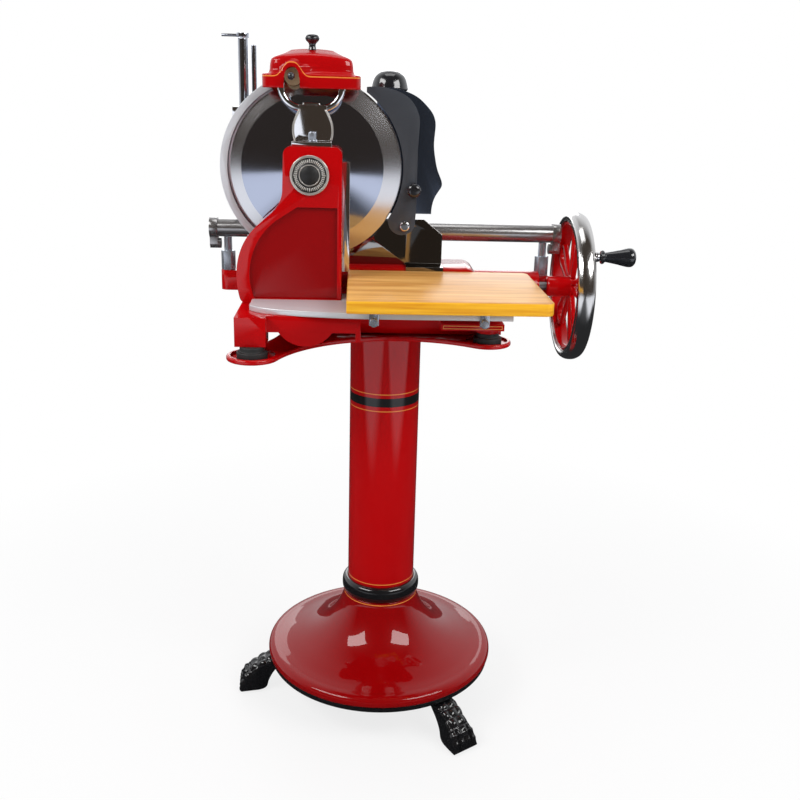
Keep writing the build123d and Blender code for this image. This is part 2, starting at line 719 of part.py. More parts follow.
with BuildPart() as machine_screws:
    for clip_x in CLIP_PLACES:
        with BuildSketch(front(clip_front)):
            disc(clip_x, board_z - CLIP_SCREW_DROP, SCREW_HEAD_R)
        extrude(amount=SCREW_HEAD_T)
        with BuildSketch(front(clip_front + 2 * CLIP_T)):
            disc(clip_x, board_z - CLIP_SCREW_DROP, SCREW_THREAD_R)
        extrude(amount=2 * CLIP_T)
    with BuildSketch(Plane.XY.offset(CASE_TOP + FLANGE_T)):
        disc(neck_middle, bolt_y, BOLT_R)
    extrude(amount=BOLT_HEIGHT)
    with BuildSketch(Plane.XY.offset(CASE_TOP - CASE_WALL)):
        disc(neck_middle, bolt_y, TIE_ROD_R / 2)
    extrude(amount=CASE_WALL + FLANGE_T)
machine_screws.part.label = "machine_screws"
export_step(machine_screws.part, "parts/machine_screws.step")

# ---------------------------------------------------------------- blade column, a shell open at the back
RECESS = 5
RECESS_TOP = SLICER_Z + 202
RECESS_BORDER = 21
WING_CURVE = (
    (-172, SLICER_Z + 228),
    (-181, SLICER_Z + 202),
    (-202, SLICER_Z + 181),
    (-227, SLICER_Z + 156),
    (-243, SLICER_Z + 122),
    (-247, SLICER_Z + 85),
    (-240, WING_TOP),
)


def column_outline(left, right, top, low):
    """The column's outline drawn in by left and right, between top and low, in the open sketch."""
    with BuildLine() as outline:
        curve = [(x + left, z) for x, z in WING_CURVE[:-1] if z < top - 1]
        curve.append((WING_CURVE[-1][0] + left, low))
        Polyline((CASE_TOP_LEFT + left, top), curve[0])
        Spline(*curve)
        Polyline(curve[-1], (CASE_RIGHT - right, low), (CASE_RIGHT - right, top), (CASE_TOP_LEFT + left, top))
    make_face(outline.edges())


with BuildPart() as blade_column:
    with BuildSketch(front(COLUMN_BACK)) as case_outline:
        column_outline(0, 0, CASE_TOP, WING_TOP)
        fillet(case_outline.vertices().group_by(Axis.Z)[-1], radius=12)
    extrude(amount=COLUMN_BACK - COLUMN_FRONT)
    with BuildSketch(front(COLUMN_FRONT + RECESS)):
        column_outline(RECESS_BORDER, CASE_WALL, RECESS_TOP, WING_TOP + 8)
    extrude(amount=RECESS, mode=Mode.SUBTRACT)
    with BuildSketch(front(COLUMN_BACK)):
        column_outline(CASE_WALL, CASE_WALL, CASE_TOP - CASE_WALL, WING_TOP)
    extrude(amount=COLUMN_BACK - COLUMN_FRONT - CASE_WALL - RECESS, mode=Mode.SUBTRACT)
    # bosses for the bearings and the idlers' studs
    boss_face = COLUMN_FRONT + RECESS + CASE_WALL
    with BuildSketch(front(boss_face + BEARING_T)):
        disc(BLADE_X, blade_z, BEARING_R + CASE_WALL)
        for stud_z in (idler_low_z, idler_high_z):
            disc(BLADE_X, stud_z, SCREW_R + CASE_WALL)
    extrude(amount=BEARING_T)
    with BuildSketch(front(boss_face + BEARING_T)):
        disc(BLADE_X, blade_z, BEARING_R + SEAT)
    extrude(amount=BEARING_T, mode=Mode.SUBTRACT)
    with BuildSketch(front(boss_face + BEARING_T)):
        for stud_z in (idler_low_z, idler_high_z):
            disc(BLADE_X, stud_z, SCREW_R + SEAT)
    extrude(amount=BEARING_T + CASE_WALL / 2, mode=Mode.SUBTRACT)
    with BuildSketch(Plane.XY.offset(CASE_TOP - CASE_WALL)):
        disc(neck_middle, bolt_y, TIE_ROD_R / 2 + SEAT)
    extrude(amount=CASE_WALL, mode=Mode.SUBTRACT)
    # step over the box
    with BuildSketch(Plane.XY.offset(WING_TOP)):
        rect(WING_LEFT - BLADE_R, BOX_FRONT - SEAT, CASE_RIGHT, COLUMN_BACK)
    extrude(amount=SHAFT_Z - WING_TOP, mode=Mode.SUBTRACT)
blade_column.part.label = "blade_column"
export_step(blade_column.part, "parts/blade_column.step")

with BuildPart() as column_back_plate:
    with BuildSketch(front(COLUMN_BACK + BACK_PLATE_T)) as back_outline:
        column_outline(1, 1, CASE_TOP - 1, SHAFT_Z)
        fillet(back_outline.vertices().group_by(Axis.Z)[-1], radius=11)
        disc(BLADE_X, blade_z, BEARING_R + SEAT, mode=Mode.SUBTRACT)
        disc(BLADE_X, SHAFT_Z, SHAFT_R + 4, mode=Mode.SUBTRACT)
    extrude(amount=BACK_PLATE_T)
column_back_plate.part.label = "column_back_plate"
export_step(column_back_plate.part, "parts/column_back_plate.step")

with BuildPart() as column_badge:
    with BuildSketch(front(COLUMN_FRONT)):
        disc(BLADE_X, blade_z - 3, BADGE_R)
    extrude(amount=BADGE_T)
    with BuildSketch(front(COLUMN_FRONT - BADGE_T + 1)):
        disc(BLADE_X, blade_z - 3, BADGE_R - 3)
    extrude(amount=1, mode=Mode.SUBTRACT)
column_badge.part.label = "column_badge"
export_step(column_badge.part, "parts/column_badge.step")

STRIP_LOW = board_z + BOARD_T + 1
STRIP_TOP = SLICER_Z + 270
STRIP_WIDTH = 12
STRIP_T = 2
STRIP_Y = -60
with BuildPart() as slice_deflector:
    with BuildSketch(Plane.XY.offset(STRIP_LOW)):
        rect(CASE_RIGHT, STRIP_Y, CASE_RIGHT + STRIP_WIDTH, STRIP_Y + STRIP_T)
        rect(CASE_RIGHT, STRIP_Y, CASE_RIGHT + STRIP_T, COLUMN_BACK)
    extrude(amount=STRIP_TOP - STRIP_LOW)
slice_deflector.part.label = "slice_deflector"
export_step(slice_deflector.part, "parts/slice_deflector.step")

# ---------------------------------------------------------------- polished plate behind the blade
MIRROR_LEFT = -74
MIRROR_CUT = (32, 26)
MIRROR_FOOT_LEFT = 31
MIRROR_LIP = 20
with BuildPart() as mirror_plate:
    with BuildSketch(front(MIRROR_Y + MIRROR_T)):
        with BuildLine():
            Polyline(
                (MIRROR_LEFT, DECK_TOP),
                (MIRROR_LEFT, MIRROR_TOP),
                (MIRROR_RIGHT - MIRROR_CUT[0], MIRROR_TOP),
                (MIRROR_RIGHT, MIRROR_TOP - MIRROR_CUT[1]),
                (MIRROR_RIGHT, DECK_TOP),
                close=True,
            )
        make_face()
        disc(*GAUGE_STUD, SCREW_R + MOVE, mode=Mode.SUBTRACT)
    extrude(amount=MIRROR_T)
    with BuildSketch(side(MIRROR_FOOT_LEFT)):
        rect(DECK_FRONT - MIRROR_T, DECK_TOP, MIRROR_Y, DECK_TOP + MIRROR_T)
        rect(DECK_FRONT - MIRROR_T, DECK_TOP - MIRROR_LIP, DECK_FRONT, DECK_TOP + MIRROR_T)
    extrude(amount=MIRROR_RIGHT - MIRROR_FOOT_LEFT)
mirror_plate.part.label = "mirror_plate"
export_step(mirror_plate.part, "parts/mirror_plate.step")

# ---------------------------------------------------------------- ring guard at the blade's left
def ring_sector(inner, outer, start, end):
    """A part of a ring round the blade's axis, in a sketch on an upright plane."""
    with BuildLine() as outline:
        CenterArc((BLADE_X, blade_z), outer, start, end - start)
        CenterArc((BLADE_X, blade_z), inner, start, end - start)
        for turn in (start, end):
            way = (cos(radians(turn)), sin(radians(turn)))
            Line(
                (BLADE_X + inner * way[0], blade_z + inner * way[1]),
                (BLADE_X + outer * way[0], blade_z + outer * way[1]),
            )
    make_face(outline.edges())


GUARD_FRONT = -10
GUARD_REAR = 4
STRUT_LEFT = -240
STRUT_WIDTH = 15
STRUT_TOP = SLICER_Z + 142
with BuildPart() as guard_ring:
    with BuildSketch(front(GUARD_FRONT + GUARD_T)):
        ring_sector(GUARD_R - GUARD_WIDTH, GUARD_R, GUARD_FROM, GUARD_TO)
        rect(STRUT_LEFT, SHAFT_Z, STRUT_LEFT + STRUT_WIDTH, STRUT_TOP)
    extrude(amount=GUARD_T)
    with BuildSketch(front(GUARD_REAR)):
        ring_sector(GUARD_R - GUARD_WALL, GUARD_R, GUARD_FROM, GUARD_TO)
    extrude(amount=GUARD_REAR - GUARD_FRONT)
guard_ring.part.label = "guard_ring"
export_step(guard_ring.part, "parts/guard_ring.step")

# ---------------------------------------------------------------- gauge plate
KNOB_PLACE = (42, SLICER_Z + 222)
GAUGE_KNOB_R = 12
GAUGE_KNOB_T = 14
GAUGE_LOBE_R = 15
gauge_front = GAUGE_BACK - GAUGE_T
inner_r = BLADE_R + GAUGE_GAP
with BuildPart() as gauge_plate:
    with BuildSketch(front(GAUGE_BACK)):
        with BuildLine():
            tip_x = -40
            tip_z = blade_z + sqrt(inner_r**2 - (tip_x - BLADE_X) ** 2)
            foot_turn = asin((GAUGE_STUD[1] + 12 - blade_z) / inner_r)
            foot = (BLADE_X + inner_r * cos(foot_turn), blade_z + inner_r * sin(foot_turn))
            ThreePointArc((tip_x, tip_z), (BLADE_X + inner_r, blade_z), foot)
            ThreePointArc(
                foot,
                (GAUGE_STUD[0] - 4, GAUGE_STUD[1] - GAUGE_LOBE_R),
                (GAUGE_STUD[0] + GAUGE_LOBE_R + 2, GAUGE_STUD[1]),
            )
            Polyline(
                (GAUGE_STUD[0] + GAUGE_LOBE_R + 2, GAUGE_STUD[1]),
                (47, SLICER_Z + 190),
                (47, SLICER_Z + 290),
                (49, SLICER_Z + 328),
            )
            Spline((49, SLICER_Z + 328), (44, SLICER_Z + 353), (28, SLICER_Z + 373), (4, SLICER_Z + 384), (-26, SLICER_Z + 388), (tip_x, SLICER_Z + 387))
            Line((tip_x, SLICER_Z + 387), (tip_x, tip_z))
        make_face()
        disc(*GAUGE_STUD, SCREW_R + SEAT, mode=Mode.SUBTRACT)
        disc(*KNOB_PLACE, STONE_PIN_R + RUN, mode=Mode.SUBTRACT)
    extrude(amount=GAUGE_T)
gauge_plate.part.label = "gauge_plate"
export_step(gauge_plate.part, "parts/gauge_plate.step")

with BuildPart() as gauge_stud:
    with BuildSketch(front(GAUGE_POST_REAR)):
        disc(*GAUGE_STUD, SCREW_R)
    extrude(amount=GAUGE_POST_REAR - gauge_front)
    with BuildSketch(front(gauge_front)):
        disc(*GAUGE_STUD, SCREW_R + 4)
    extrude(amount=4)
    fillet(gauge_stud.faces().sort_by(Axis.Y)[0].edges(), radius=3)
gauge_stud.part.label = "gauge_stud"
export_step(gauge_stud.part, "parts/gauge_stud.step")

with BuildPart() as gauge_knob:
    with BuildSketch(front(gauge_front - MOVE)):
        disc(*KNOB_PLACE, GAUGE_KNOB_R)
    extrude(amount=GAUGE_KNOB_T)
    fillet(gauge_knob.faces().sort_by(Axis.Y)[0].edges(), radius=4)
    with BuildSketch(front(GAUGE_BACK)):
        disc(*KNOB_PLACE, STONE_PIN_R)
    extrude(amount=GAUGE_T + MOVE)
gauge_knob.part.label = "gauge_knob"
export_step(gauge_knob.part, "parts/gauge_knob.step")

# ---------------------------------------------------------------- sharpener
YOKE_T = 10
YOKE_BAR = 12
YOKE_SPREAD = 52
YOKE_FLAT = 14
YOKE_BEND_Z = SLICER_Z + 380
yoke_top = COVER_BOTTOM + COVER_SKIRT - COVER_WALL - SHARPENER_DROP - MOVE
yoke_low = CASE_TOP + NECK_TOP - YOKE_BAR
yoke_front = NECK_Y + NECK_T
cover_front = yoke_front - SLIDE - COVER_WALL
with BuildPart() as sharpener_yoke:
    with BuildSketch(front(yoke_front + YOKE_T)):
        with BuildLine():
            Polyline(
                (BLADE_X - YOKE_SPREAD, yoke_top),
                (BLADE_X - YOKE_SPREAD, YOKE_BEND_Z),
                (BLADE_X - YOKE_FLAT, yoke_low),
                (BLADE_X + YOKE_FLAT, yoke_low),
                (BLADE_X + YOKE_SPREAD, YOKE_BEND_Z),
                (BLADE_X + YOKE_SPREAD, yoke_top),
                (BLADE_X + YOKE_SPREAD - YOKE_BAR, yoke_top),
                (BLADE_X + YOKE_SPREAD - YOKE_BAR, YOKE_BEND_Z + YOKE_BAR / 2),
                (BLADE_X + YOKE_FLAT - YOKE_BAR / 3, yoke_low + YOKE_BAR),
                (BLADE_X - YOKE_FLAT + YOKE_BAR / 3, yoke_low + YOKE_BAR),
                (BLADE_X - YOKE_SPREAD + YOKE_BAR, YOKE_BEND_Z + YOKE_BAR / 2),
                (BLADE_X - YOKE_SPREAD + YOKE_BAR, yoke_top),
                close=True,
            )
        make_face()
    extrude(amount=YOKE_T)
sharpener_yoke.part.label = "sharpener_yoke"
export_step(sharpener_yoke.part, "parts/sharpener_yoke.step")

BODY_INSET = 13
ROOF_INSET = 14
COVER_CORNER = 10
MOUTH_WIDTH = 26
MOUTH_HEIGHT = 36
NOTCH_FRONT = -16
NOTCH_REAR = 12
NOTCH_HEIGHT = 26
LUG_T = 6
LUG_WIDTH = 12
KNOB_Y = -7
cover_y = (cover_front + COVER_REAR) / 2
cover_x = (COVER_LEFT + COVER_RIGHT) / 2
truing_x = BLADE_X - STONE_X
grinding_x = BLADE_X + STONE_X
truing_lug_y = -24
grinding_lug_y = 16
skirt_top = COVER_BOTTOM + COVER_SKIRT


def cover_sizes(inset):
    """Width and depth of the cover when drawn in by inset all round."""
    return COVER_RIGHT - COVER_LEFT - 2 * inset, COVER_REAR - cover_front - 2 * inset


with BuildPart() as sharpener_cover:
    with BuildSketch(Plane.XY.offset(COVER_BOTTOM)):
        with Locations((cover_x, cover_y)):
            RectangleRounded(*cover_sizes(0), COVER_CORNER)
    extrude(amount=COVER_SKIRT)
    for inset, low in ((BODY_INSET, skirt_top), (BODY_INSET + ROOF_INSET, COVER_TOP)):
        with BuildSketch(Plane.XY.offset(low)):
            with Locations((cover_x, cover_y)):
                RectangleRounded(*cover_sizes(inset), COVER_CORNER)
    loft()
    fillet(sharpener_cover.faces().sort_by(Axis.Z)[-1].edges(), radius=9)
    with BuildSketch(Plane.XY.offset(COVER_BOTTOM)):
        with Locations((cover_x, cover_y)):
            RectangleRounded(*cover_sizes(COVER_WALL), COVER_CORNER - COVER_WALL)
    extrude(amount=COVER_SKIRT - COVER_WALL, mode=Mode.SUBTRACT)
    for inset, low in (
        (BODY_INSET + COVER_WALL, skirt_top - COVER_WALL),
        (BODY_INSET + ROOF_INSET + COVER_WALL, COVER_TOP - COVER_WALL),
    ):
        with BuildSketch(Plane.XY.offset(low)):
            with Locations((cover_x, cover_y)):
                RectangleRounded(*cover_sizes(inset), COVER_CORNER - COVER_WALL)
    loft(mode=Mode.SUBTRACT)
    # lugs that hang from the roof and hold the stones' pins
    for lug_x, lug_y in ((truing_x, truing_lug_y), (grinding_x, grinding_lug_y)):
        with BuildSketch(front(lug_y + LUG_T)):
            rect(lug_x - LUG_WIDTH / 2, STONE_Z - LUG_WIDTH / 2, lug_x + LUG_WIDTH / 2, COVER_TOP - COVER_WALL)
        extrude(amount=LUG_T)
        with BuildSketch(front(lug_y + LUG_T)):
            disc(lug_x, STONE_Z, STONE_PIN_R + RUN)
        extrude(amount=LUG_T, mode=Mode.SUBTRACT)
    # mouth in front of the truing stone, and the notches that the blade passes through
    with BuildSketch(front(truing_lug_y - 1)):
        rect(truing_x - MOUTH_WIDTH / 2, COVER_BOTTOM, truing_x + MOUTH_WIDTH / 2, COVER_BOTTOM + MOUTH_HEIGHT / 2)
        disc(truing_x, COVER_BOTTOM + MOUTH_HEIGHT - MOUTH_WIDTH / 2, MOUTH_WIDTH / 2)
    extrude(amount=-cover_front, mode=Mode.SUBTRACT)
    with BuildSketch(Plane.XY.offset(COVER_BOTTOM)):
        rect(COVER_LEFT - 1, NOTCH_FRONT, COVER_LEFT + BODY_INSET + 3, NOTCH_REAR)
        rect(COVER_RIGHT - BODY_INSET - 3, NOTCH_FRONT, COVER_RIGHT + 1, NOTCH_REAR)
    extrude(amount=NOTCH_HEIGHT, mode=Mode.SUBTRACT)
    with BuildSketch(Plane.XY.offset(COVER_TOP - COVER_WALL)):
        disc(BLADE_X, KNOB_Y, STONE_PIN_R + RUN)
    extrude(amount=2 * COVER_WALL, mode=Mode.SUBTRACT)
sharpener_cover.part.label = "sharpener_cover"
export_step(sharpener_cover.part, "parts/sharpener_cover.step")

with BuildPart() as sharpener_knob:
    knob_plane = Plane(origin=(BLADE_X, KNOB_Y, 0), x_dir=(1, 0, 0), z_dir=(0, -1, 0))
    with BuildSketch(knob_plane):
        with BuildLine():
            Polyline(
                (0, COVER_TOP - COVER_WALL - 2),
                (STONE_PIN_R, COVER_TOP - COVER_WALL - 2),
                (STONE_PIN_R, COVER_TOP + MOVE),
                (KNOB_R * 0.6, COVER_TOP + MOVE),
                (KNOB_R * 0.5, COVER_TOP + KNOB_HEIGHT * 0.35),
                (KNOB_R, COVER_TOP + KNOB_HEIGHT * 0.6),
                (KNOB_R, COVER_TOP + KNOB_HEIGHT * 0.8),
            )
            Spline(
                (KNOB_R, COVER_TOP + KNOB_HEIGHT * 0.8),
                (KNOB_R * 0.7, COVER_TOP + KNOB_HEIGHT * 0.95),
                (0, COVER_TOP + KNOB_HEIGHT),
            )
            Line((0, COVER_TOP + KNOB_HEIGHT), (0, COVER_TOP - COVER_WALL - 2))
        make_face()
    revolve(axis=Axis((BLADE_X, KNOB_Y, 0), (0, 0, 1)))
sharpener_knob.part.label = "sharpener_knob"
export_step(sharpener_knob.part, "parts/sharpener_knob.step")

BUTTON_BALL_R = 6
BUTTON_OUT = 13
truing_back = truing_lug_y + LUG_T + MOVE + STONE_T
with BuildPart() as stone_button:
    with BuildSketch(front(truing_back)):
        disc(truing_x, STONE_Z, STONE_PIN_R)
    extrude(amount=truing_back - cover_front + BUTTON_OUT)
    with Locations((truing_x, cover_front - BUTTON_OUT, STONE_Z)):
        Sphere(BUTTON_BALL_R)
stone_button.part.label = "stone_button"
export_step(stone_button.part, "parts/stone_button.step")

with BuildPart() as truing_stone:
    with BuildSketch(front(truing_back)):
        disc(truing_x, STONE_Z, STONE_R)
        disc(truing_x, STONE_Z, STONE_PIN_R + RUN, mode=Mode.SUBTRACT)
    extrude(amount=STONE_T)
truing_stone.part.label = "truing_stone"
export_step(truing_stone.part, "parts/truing_stone.step")

with BuildPart() as grinding_stone:
    with BuildSketch(front(grinding_lug_y - MOVE)):
        disc(grinding_x, STONE_Z, STONE_R)
    extrude(amount=STONE_T)
    with BuildSketch(front(grinding_lug_y + LUG_T)):
        disc(grinding_x, STONE_Z, STONE_PIN_R)
    extrude(amount=LUG_T + MOVE)
grinding_stone.part.label = "grinding_stone"
export_step(grinding_stone.part, "parts/grinding_stone.step")

# ---------------------------------------------------------------- bearings and fixed studs
bearing_seats = (
    (front(boss_face + BEARING_T), (BLADE_X, blade_z)),
    (front(COLUMN_BACK + BACK_PLATE_T), (BLADE_X, blade_z)),
    (front(BOX_REAR), (BLADE_X, SHAFT_Z)),
    (front(DECK_FRONT + BEARING_T), (BLADE_X, SHAFT_Z)),
    (side(DECK_RIGHT - CAST_WALL), (SHAFT_Y, SHAFT_Z)),
    (side(TUNNEL_END - BEARING_T), (SHAFT_Y, SHAFT_Z)),
)
with BuildPart() as ball_bearings:
    for seat, centre in bearing_seats:
        with BuildSketch(seat):
            disc(*centre, BEARING_R)
            disc(*centre, SHAFT_R + RUN, mode=Mode.SUBTRACT)
        extrude(amount=BEARING_T)
ball_bearings.part.label = "ball_bearings"
export_step(ball_bearings.part, "parts/ball_bearings.step")

gear_back = GEAR_FRONT + GEAR_T
DISC_T = 6
lever_front = BOX_REAR + MOVE + 1 + DISC_T + 5
with BuildPart() as fixed_studs:
    for stud_z in (idler_low_z, idler_high_z):
        with BuildSketch(front(gear_back)):
            disc(BLADE_X, stud_z, SCREW_R)
        extrude(amount=gear_back - boss_face + CASE_WALL / 2 - SEAT)
    with BuildSketch(front(lever_front + LEVER_T)):
        disc(BLADE_X, LEVER_PIVOT_Z, SCREW_R)
    extrude(amount=lever_front + LEVER_T - BOX_REAR + CAST_WALL)
fixed_studs.part.label = "fixed_studs"
export_step(fixed_studs.part, "parts/fixed_studs.step")

# ---------------------------------------------------------------- gears
PRESSURE = radians(20)
ADDENDUM = 0.8
DEDENDUM = 1.05
SPUR_PLAY = 0.16
BEVEL_PLAY = 0.4


def involute(angle):
    """How far the flank has turned away from its root on the base circle."""
    return tan(angle) - angle


def gear_outline(teeth, module, turn, play):
    """Points of a spur gear about the origin, with one tooth's middle at turn degrees.

    Each flank is the involute of the base circle, taken at four radii from the root to the tip.
    """
    pitch_r = teeth * module / 2
    base_r = pitch_r * cos(PRESSURE)
    tip_r = pitch_r + ADDENDUM * module
    root_r = pitch_r - DEDENDUM * module
    half = pi / (2 * teeth) - play / (2 * pitch_r)
    flank = []
    for step in range(4):
        radius = root_r + (tip_r - root_r) * step / 3
        lean = involute(acos(min(1, base_r / radius)))
        flank.append((radius, half + involute(PRESSURE) - lean))
    points = []
    for tooth in range(teeth):
        middle = radians(turn) + 2 * pi * tooth / teeth
        for radius, away in flank:
            points.append((radius * cos(middle - away), radius * sin(middle - away)))
        for radius, away in reversed(flank):
            points.append((radius * cos(middle + away), radius * sin(middle + away)))
    return points


def next_turn(turn, teeth, next_teeth):
    """Where the gear above needs a tooth, so that its gap meets the lower gear's tooth."""
    return 270 + 180 / next_teeth - (teeth / next_teeth) * (turn - 90)


def gear_face(teeth, module, turn, play, centre, bore):
    """A gear's face round centre with its bore, in the sketch that is open."""
    x, z = centre
    with BuildLine() as outline:
        Polyline(*[(x + a, z + b) for a, b in gear_outline(teeth, module, turn, play)], close=True)
    make_face(outline.edges())
    disc(x, z, bore, mode=Mode.SUBTRACT)


driver_turn = 90
idler_low_turn = next_turn(driver_turn, DRIVER_TEETH, IDLER_TEETH)
idler_high_turn = next_turn(idler_low_turn, IDLER_TEETH, IDLER_TEETH)
blade_gear_turn = next_turn(idler_high_turn, IDLER_TEETH, BLADE_GEAR_TEETH)

with BuildPart() as driver_gear:
    with BuildSketch(front(gear_back)):
        gear_face(DRIVER_TEETH, SPUR_MODULE, driver_turn, SPUR_PLAY, (BLADE_X, SHAFT_Z), SHAFT_R + SEAT)
    extrude(amount=GEAR_T)
driver_gear.part.label = "driver_gear"
export_step(driver_gear.part, "parts/driver_gear.step")

with BuildPart() as idler_gear_lower:
    with BuildSketch(front(gear_back)):
        gear_face(IDLER_TEETH, SPUR_MODULE, idler_low_turn, SPUR_PLAY, (BLADE_X, idler_low_z), SCREW_R + RUN)
    extrude(amount=GEAR_T)
idler_gear_lower.part.label = "idler_gear_lower"
export_step(idler_gear_lower.part, "parts/idler_gear_lower.step")

with BuildPart() as idler_gear_upper:
    with BuildSketch(front(gear_back)):
        gear_face(IDLER_TEETH, SPUR_MODULE, idler_high_turn, SPUR_PLAY, (BLADE_X, idler_high_z), SCREW_R + RUN)
    extrude(amount=GEAR_T)
idler_gear_upper.part.label = "idler_gear_upper"
export_step(idler_gear_upper.part, "parts/idler_gear_upper.step")

with BuildPart() as blade_gear:
    with BuildSketch(front(gear_back)):
        gear_face(
            BLADE_GEAR_TEETH, SPUR_MODULE, blade_gear_turn, SPUR_PLAY, (BLADE_X, blade_z), SHAFT_R + SEAT
        )
    extrude(amount=GEAR_T)
blade_gear.part.label = "blade_gear"
export_step(blade_gear.part, "parts/blade_gear.step")

BEVEL_HUB_R = 13
BEVEL_HUB_T = 9
bevel_near = bevel_r * BEVEL_FACE


def bevel_sections(turn):
    """The gear's outline at its wide end and, drawn together towards the apex, at its narrow end."""
    wide = gear_outline(BEVEL_TEETH, BEVEL_MODULE, turn, BEVEL_PLAY)
    return wide, [(a * BEVEL_FACE, b * BEVEL_FACE) for a, b in wide]


with BuildPart() as flywheel_bevel:
    for shift, points in zip((bevel_r, bevel_near), bevel_sections(180)):
        wide_end = Plane(origin=(BLADE_X + shift, SHAFT_Y, SHAFT_Z), x_dir=(0, 1, 0), z_dir=(1, 0, 0))
        with BuildSketch(wide_end):
            with BuildLine():
                Polyline(*points, close=True)
            make_face()
    loft(ruled=True)
    with BuildSketch(side(BLADE_X + bevel_r)):
        disc(SHAFT_Y, SHAFT_Z, BEVEL_HUB_R)
    extrude(amount=BEVEL_HUB_T)
    with BuildSketch(side(BLADE_X)):
        disc(SHAFT_Y, SHAFT_Z, SHAFT_R + SEAT)
    extrude(amount=bevel_r + BEVEL_HUB_T, mode=Mode.SUBTRACT)
flywheel_bevel.part.label = "flywheel_bevel"
export_step(flywheel_bevel.part, "parts/flywheel_bevel.step")

with BuildPart() as cross_bevel:
    for shift, points in zip((bevel_r, bevel_near), bevel_sections(180 / BEVEL_TEETH)):
        wide_end = Plane(origin=(BLADE_X, SHAFT_Y - shift, SHAFT_Z), x_dir=(1, 0, 0), z_dir=(0, -1, 0))
        with BuildSketch(wide_end):
            with BuildLine():
                Polyline(*points, close=True)
            make_face()
    loft(ruled=True)
    with BuildSketch(front(SHAFT_Y - bevel_r)):
        disc(BLADE_X, SHAFT_Z, BEVEL_HUB_R)
    extrude(amount=BEVEL_HUB_T)
    with BuildSketch(front(SHAFT_Y)):
        disc(BLADE_X, SHAFT_Z, SHAFT_R + SEAT)
    extrude(amount=bevel_r + BEVEL_HUB_T, mode=Mode.SUBTRACT)
cross_bevel.part.label = "cross_bevel"
export_step(cross_bevel.part, "parts/cross_bevel.step")

# ---------------------------------------------------------------- cross shaft with the carriage's crank
disc_front = BOX_REAR + MOVE + 1
shaft_nose = boss_face + MOVE
with BuildPart() as cross_shaft:
    with BuildSketch(front(disc_front + DISC_T)):
        disc(BLADE_X, SHAFT_Z, SHAFT_R)
    extrude(amount=disc_front + DISC_T - shaft_nose)
cross_shaft.part.label = "cross_shaft"
export_step(cross_shaft.part, "parts/cross_shaft.step")

lever_reach = 130
lever_lean = -asin(RAIL_MIDSTROKE / lever_reach)
lever_way = (sin(lever_lean), cos(lever_lean))
drop = SHAFT_Z - LEVER_PIVOT_Z
pin_reach = drop * lever_way[1] + sqrt((drop * lever_way[1]) ** 2 - drop**2 + CRANK_THROW**2)
crank_pin = (BLADE_X + pin_reach * lever_way[0], LEVER_PIVOT_Z + pin_reach * lever_way[1])
PIN_R = 4
with BuildPart() as crank_disc:
    with BuildSketch(front(disc_front + DISC_T)):
        disc(BLADE_X, SHAFT_Z, CRANK_DISC_R)
        disc(BLADE_X, SHAFT_Z, SHAFT_R + SEAT, mode=Mode.SUBTRACT)
    extrude(amount=DISC_T)
    with BuildSketch(front(lever_front - MOVE)):
        disc(*crank_pin, PIN_R)
    extrude(amount=lever_front - MOVE - disc_front - DISC_T)
crank_disc.part.label = "crank_disc"
export_step(crank_disc.part, "parts/crank_disc.step")


def along_lever(reach, across=0):
    """A point at this reach from the lever's pivot, and this far to its right."""
    x = BLADE_X + reach * lever_way[0] + across * lever_way[1]
    return x, LEVER_PIVOT_Z + reach * lever_way[1] - across * lever_way[0]


slot_from = drop - CRANK_THROW
slot_to = drop + CRANK_THROW
with BuildPart() as drive_lever:
    with BuildSketch(front(lever_front + LEVER_T)):
        for reach in (0, lever_reach):
            disc(*along_lever(reach), LEVER_WIDTH / 2)
        with BuildLine():
            Polyline(
                along_lever(0, LEVER_WIDTH / 2),
                along_lever(lever_reach, LEVER_WIDTH / 2),
                along_lever(lever_reach, -LEVER_WIDTH / 2),
                along_lever(0, -LEVER_WIDTH / 2),
                close=True,
            )
        make_face()
        disc(*along_lever(0), SCREW_R + RUN, mode=Mode.SUBTRACT)
        with BuildLine():
            Polyline(
                along_lever(slot_from, PIN_R + MOVE),
                along_lever(slot_to, PIN_R + MOVE),
                along_lever(slot_to, -PIN_R - MOVE),
                along_lever(slot_from, -PIN_R - MOVE),
                close=True,
            )
        make_face(mode=Mode.SUBTRACT)
    extrude(amount=LEVER_T)
    with BuildSketch(front(lever_front + LEVER_T + PIN_R)):
        disc(*along_lever(lever_reach), PIN_R)
    extrude(amount=PIN_R)
drive_lever.part.label = "drive_lever"
export_step(drive_lever.part, "parts/drive_lever.step")

# ---------------------------------------------------------------- blade, its shaft and clamp plate
FLANGE_DEPTH = 8
CLAMP_T = 5
BEVEL_WIDTH = 14
blade_seat = BLADE_Y - BLADE_DISH
dish_axis = Axis((BLADE_X, 0, blade_z), (0, 1, 0))
dish_plane = Plane(origin=(BLADE_X, 0, blade_z), x_dir=(1, 0, 0), z_dir=(0, 0, 1))
with BuildPart() as blade_shaft:
    with BuildSketch(front(blade_seat)):
        disc(BLADE_X, blade_z, HUB_FLANGE_R - 4)
    extrude(amount=FLANGE_DEPTH)
    with BuildSketch(front(blade_seat + BLADE_T + CLAMP_T)):
        disc(BLADE_X, blade_z, SHAFT_R)
    extrude(amount=blade_seat + BLADE_T + CLAMP_T - shaft_nose)
blade_shaft.part.label = "blade_shaft"
export_step(blade_shaft.part, "parts/blade_shaft.step")

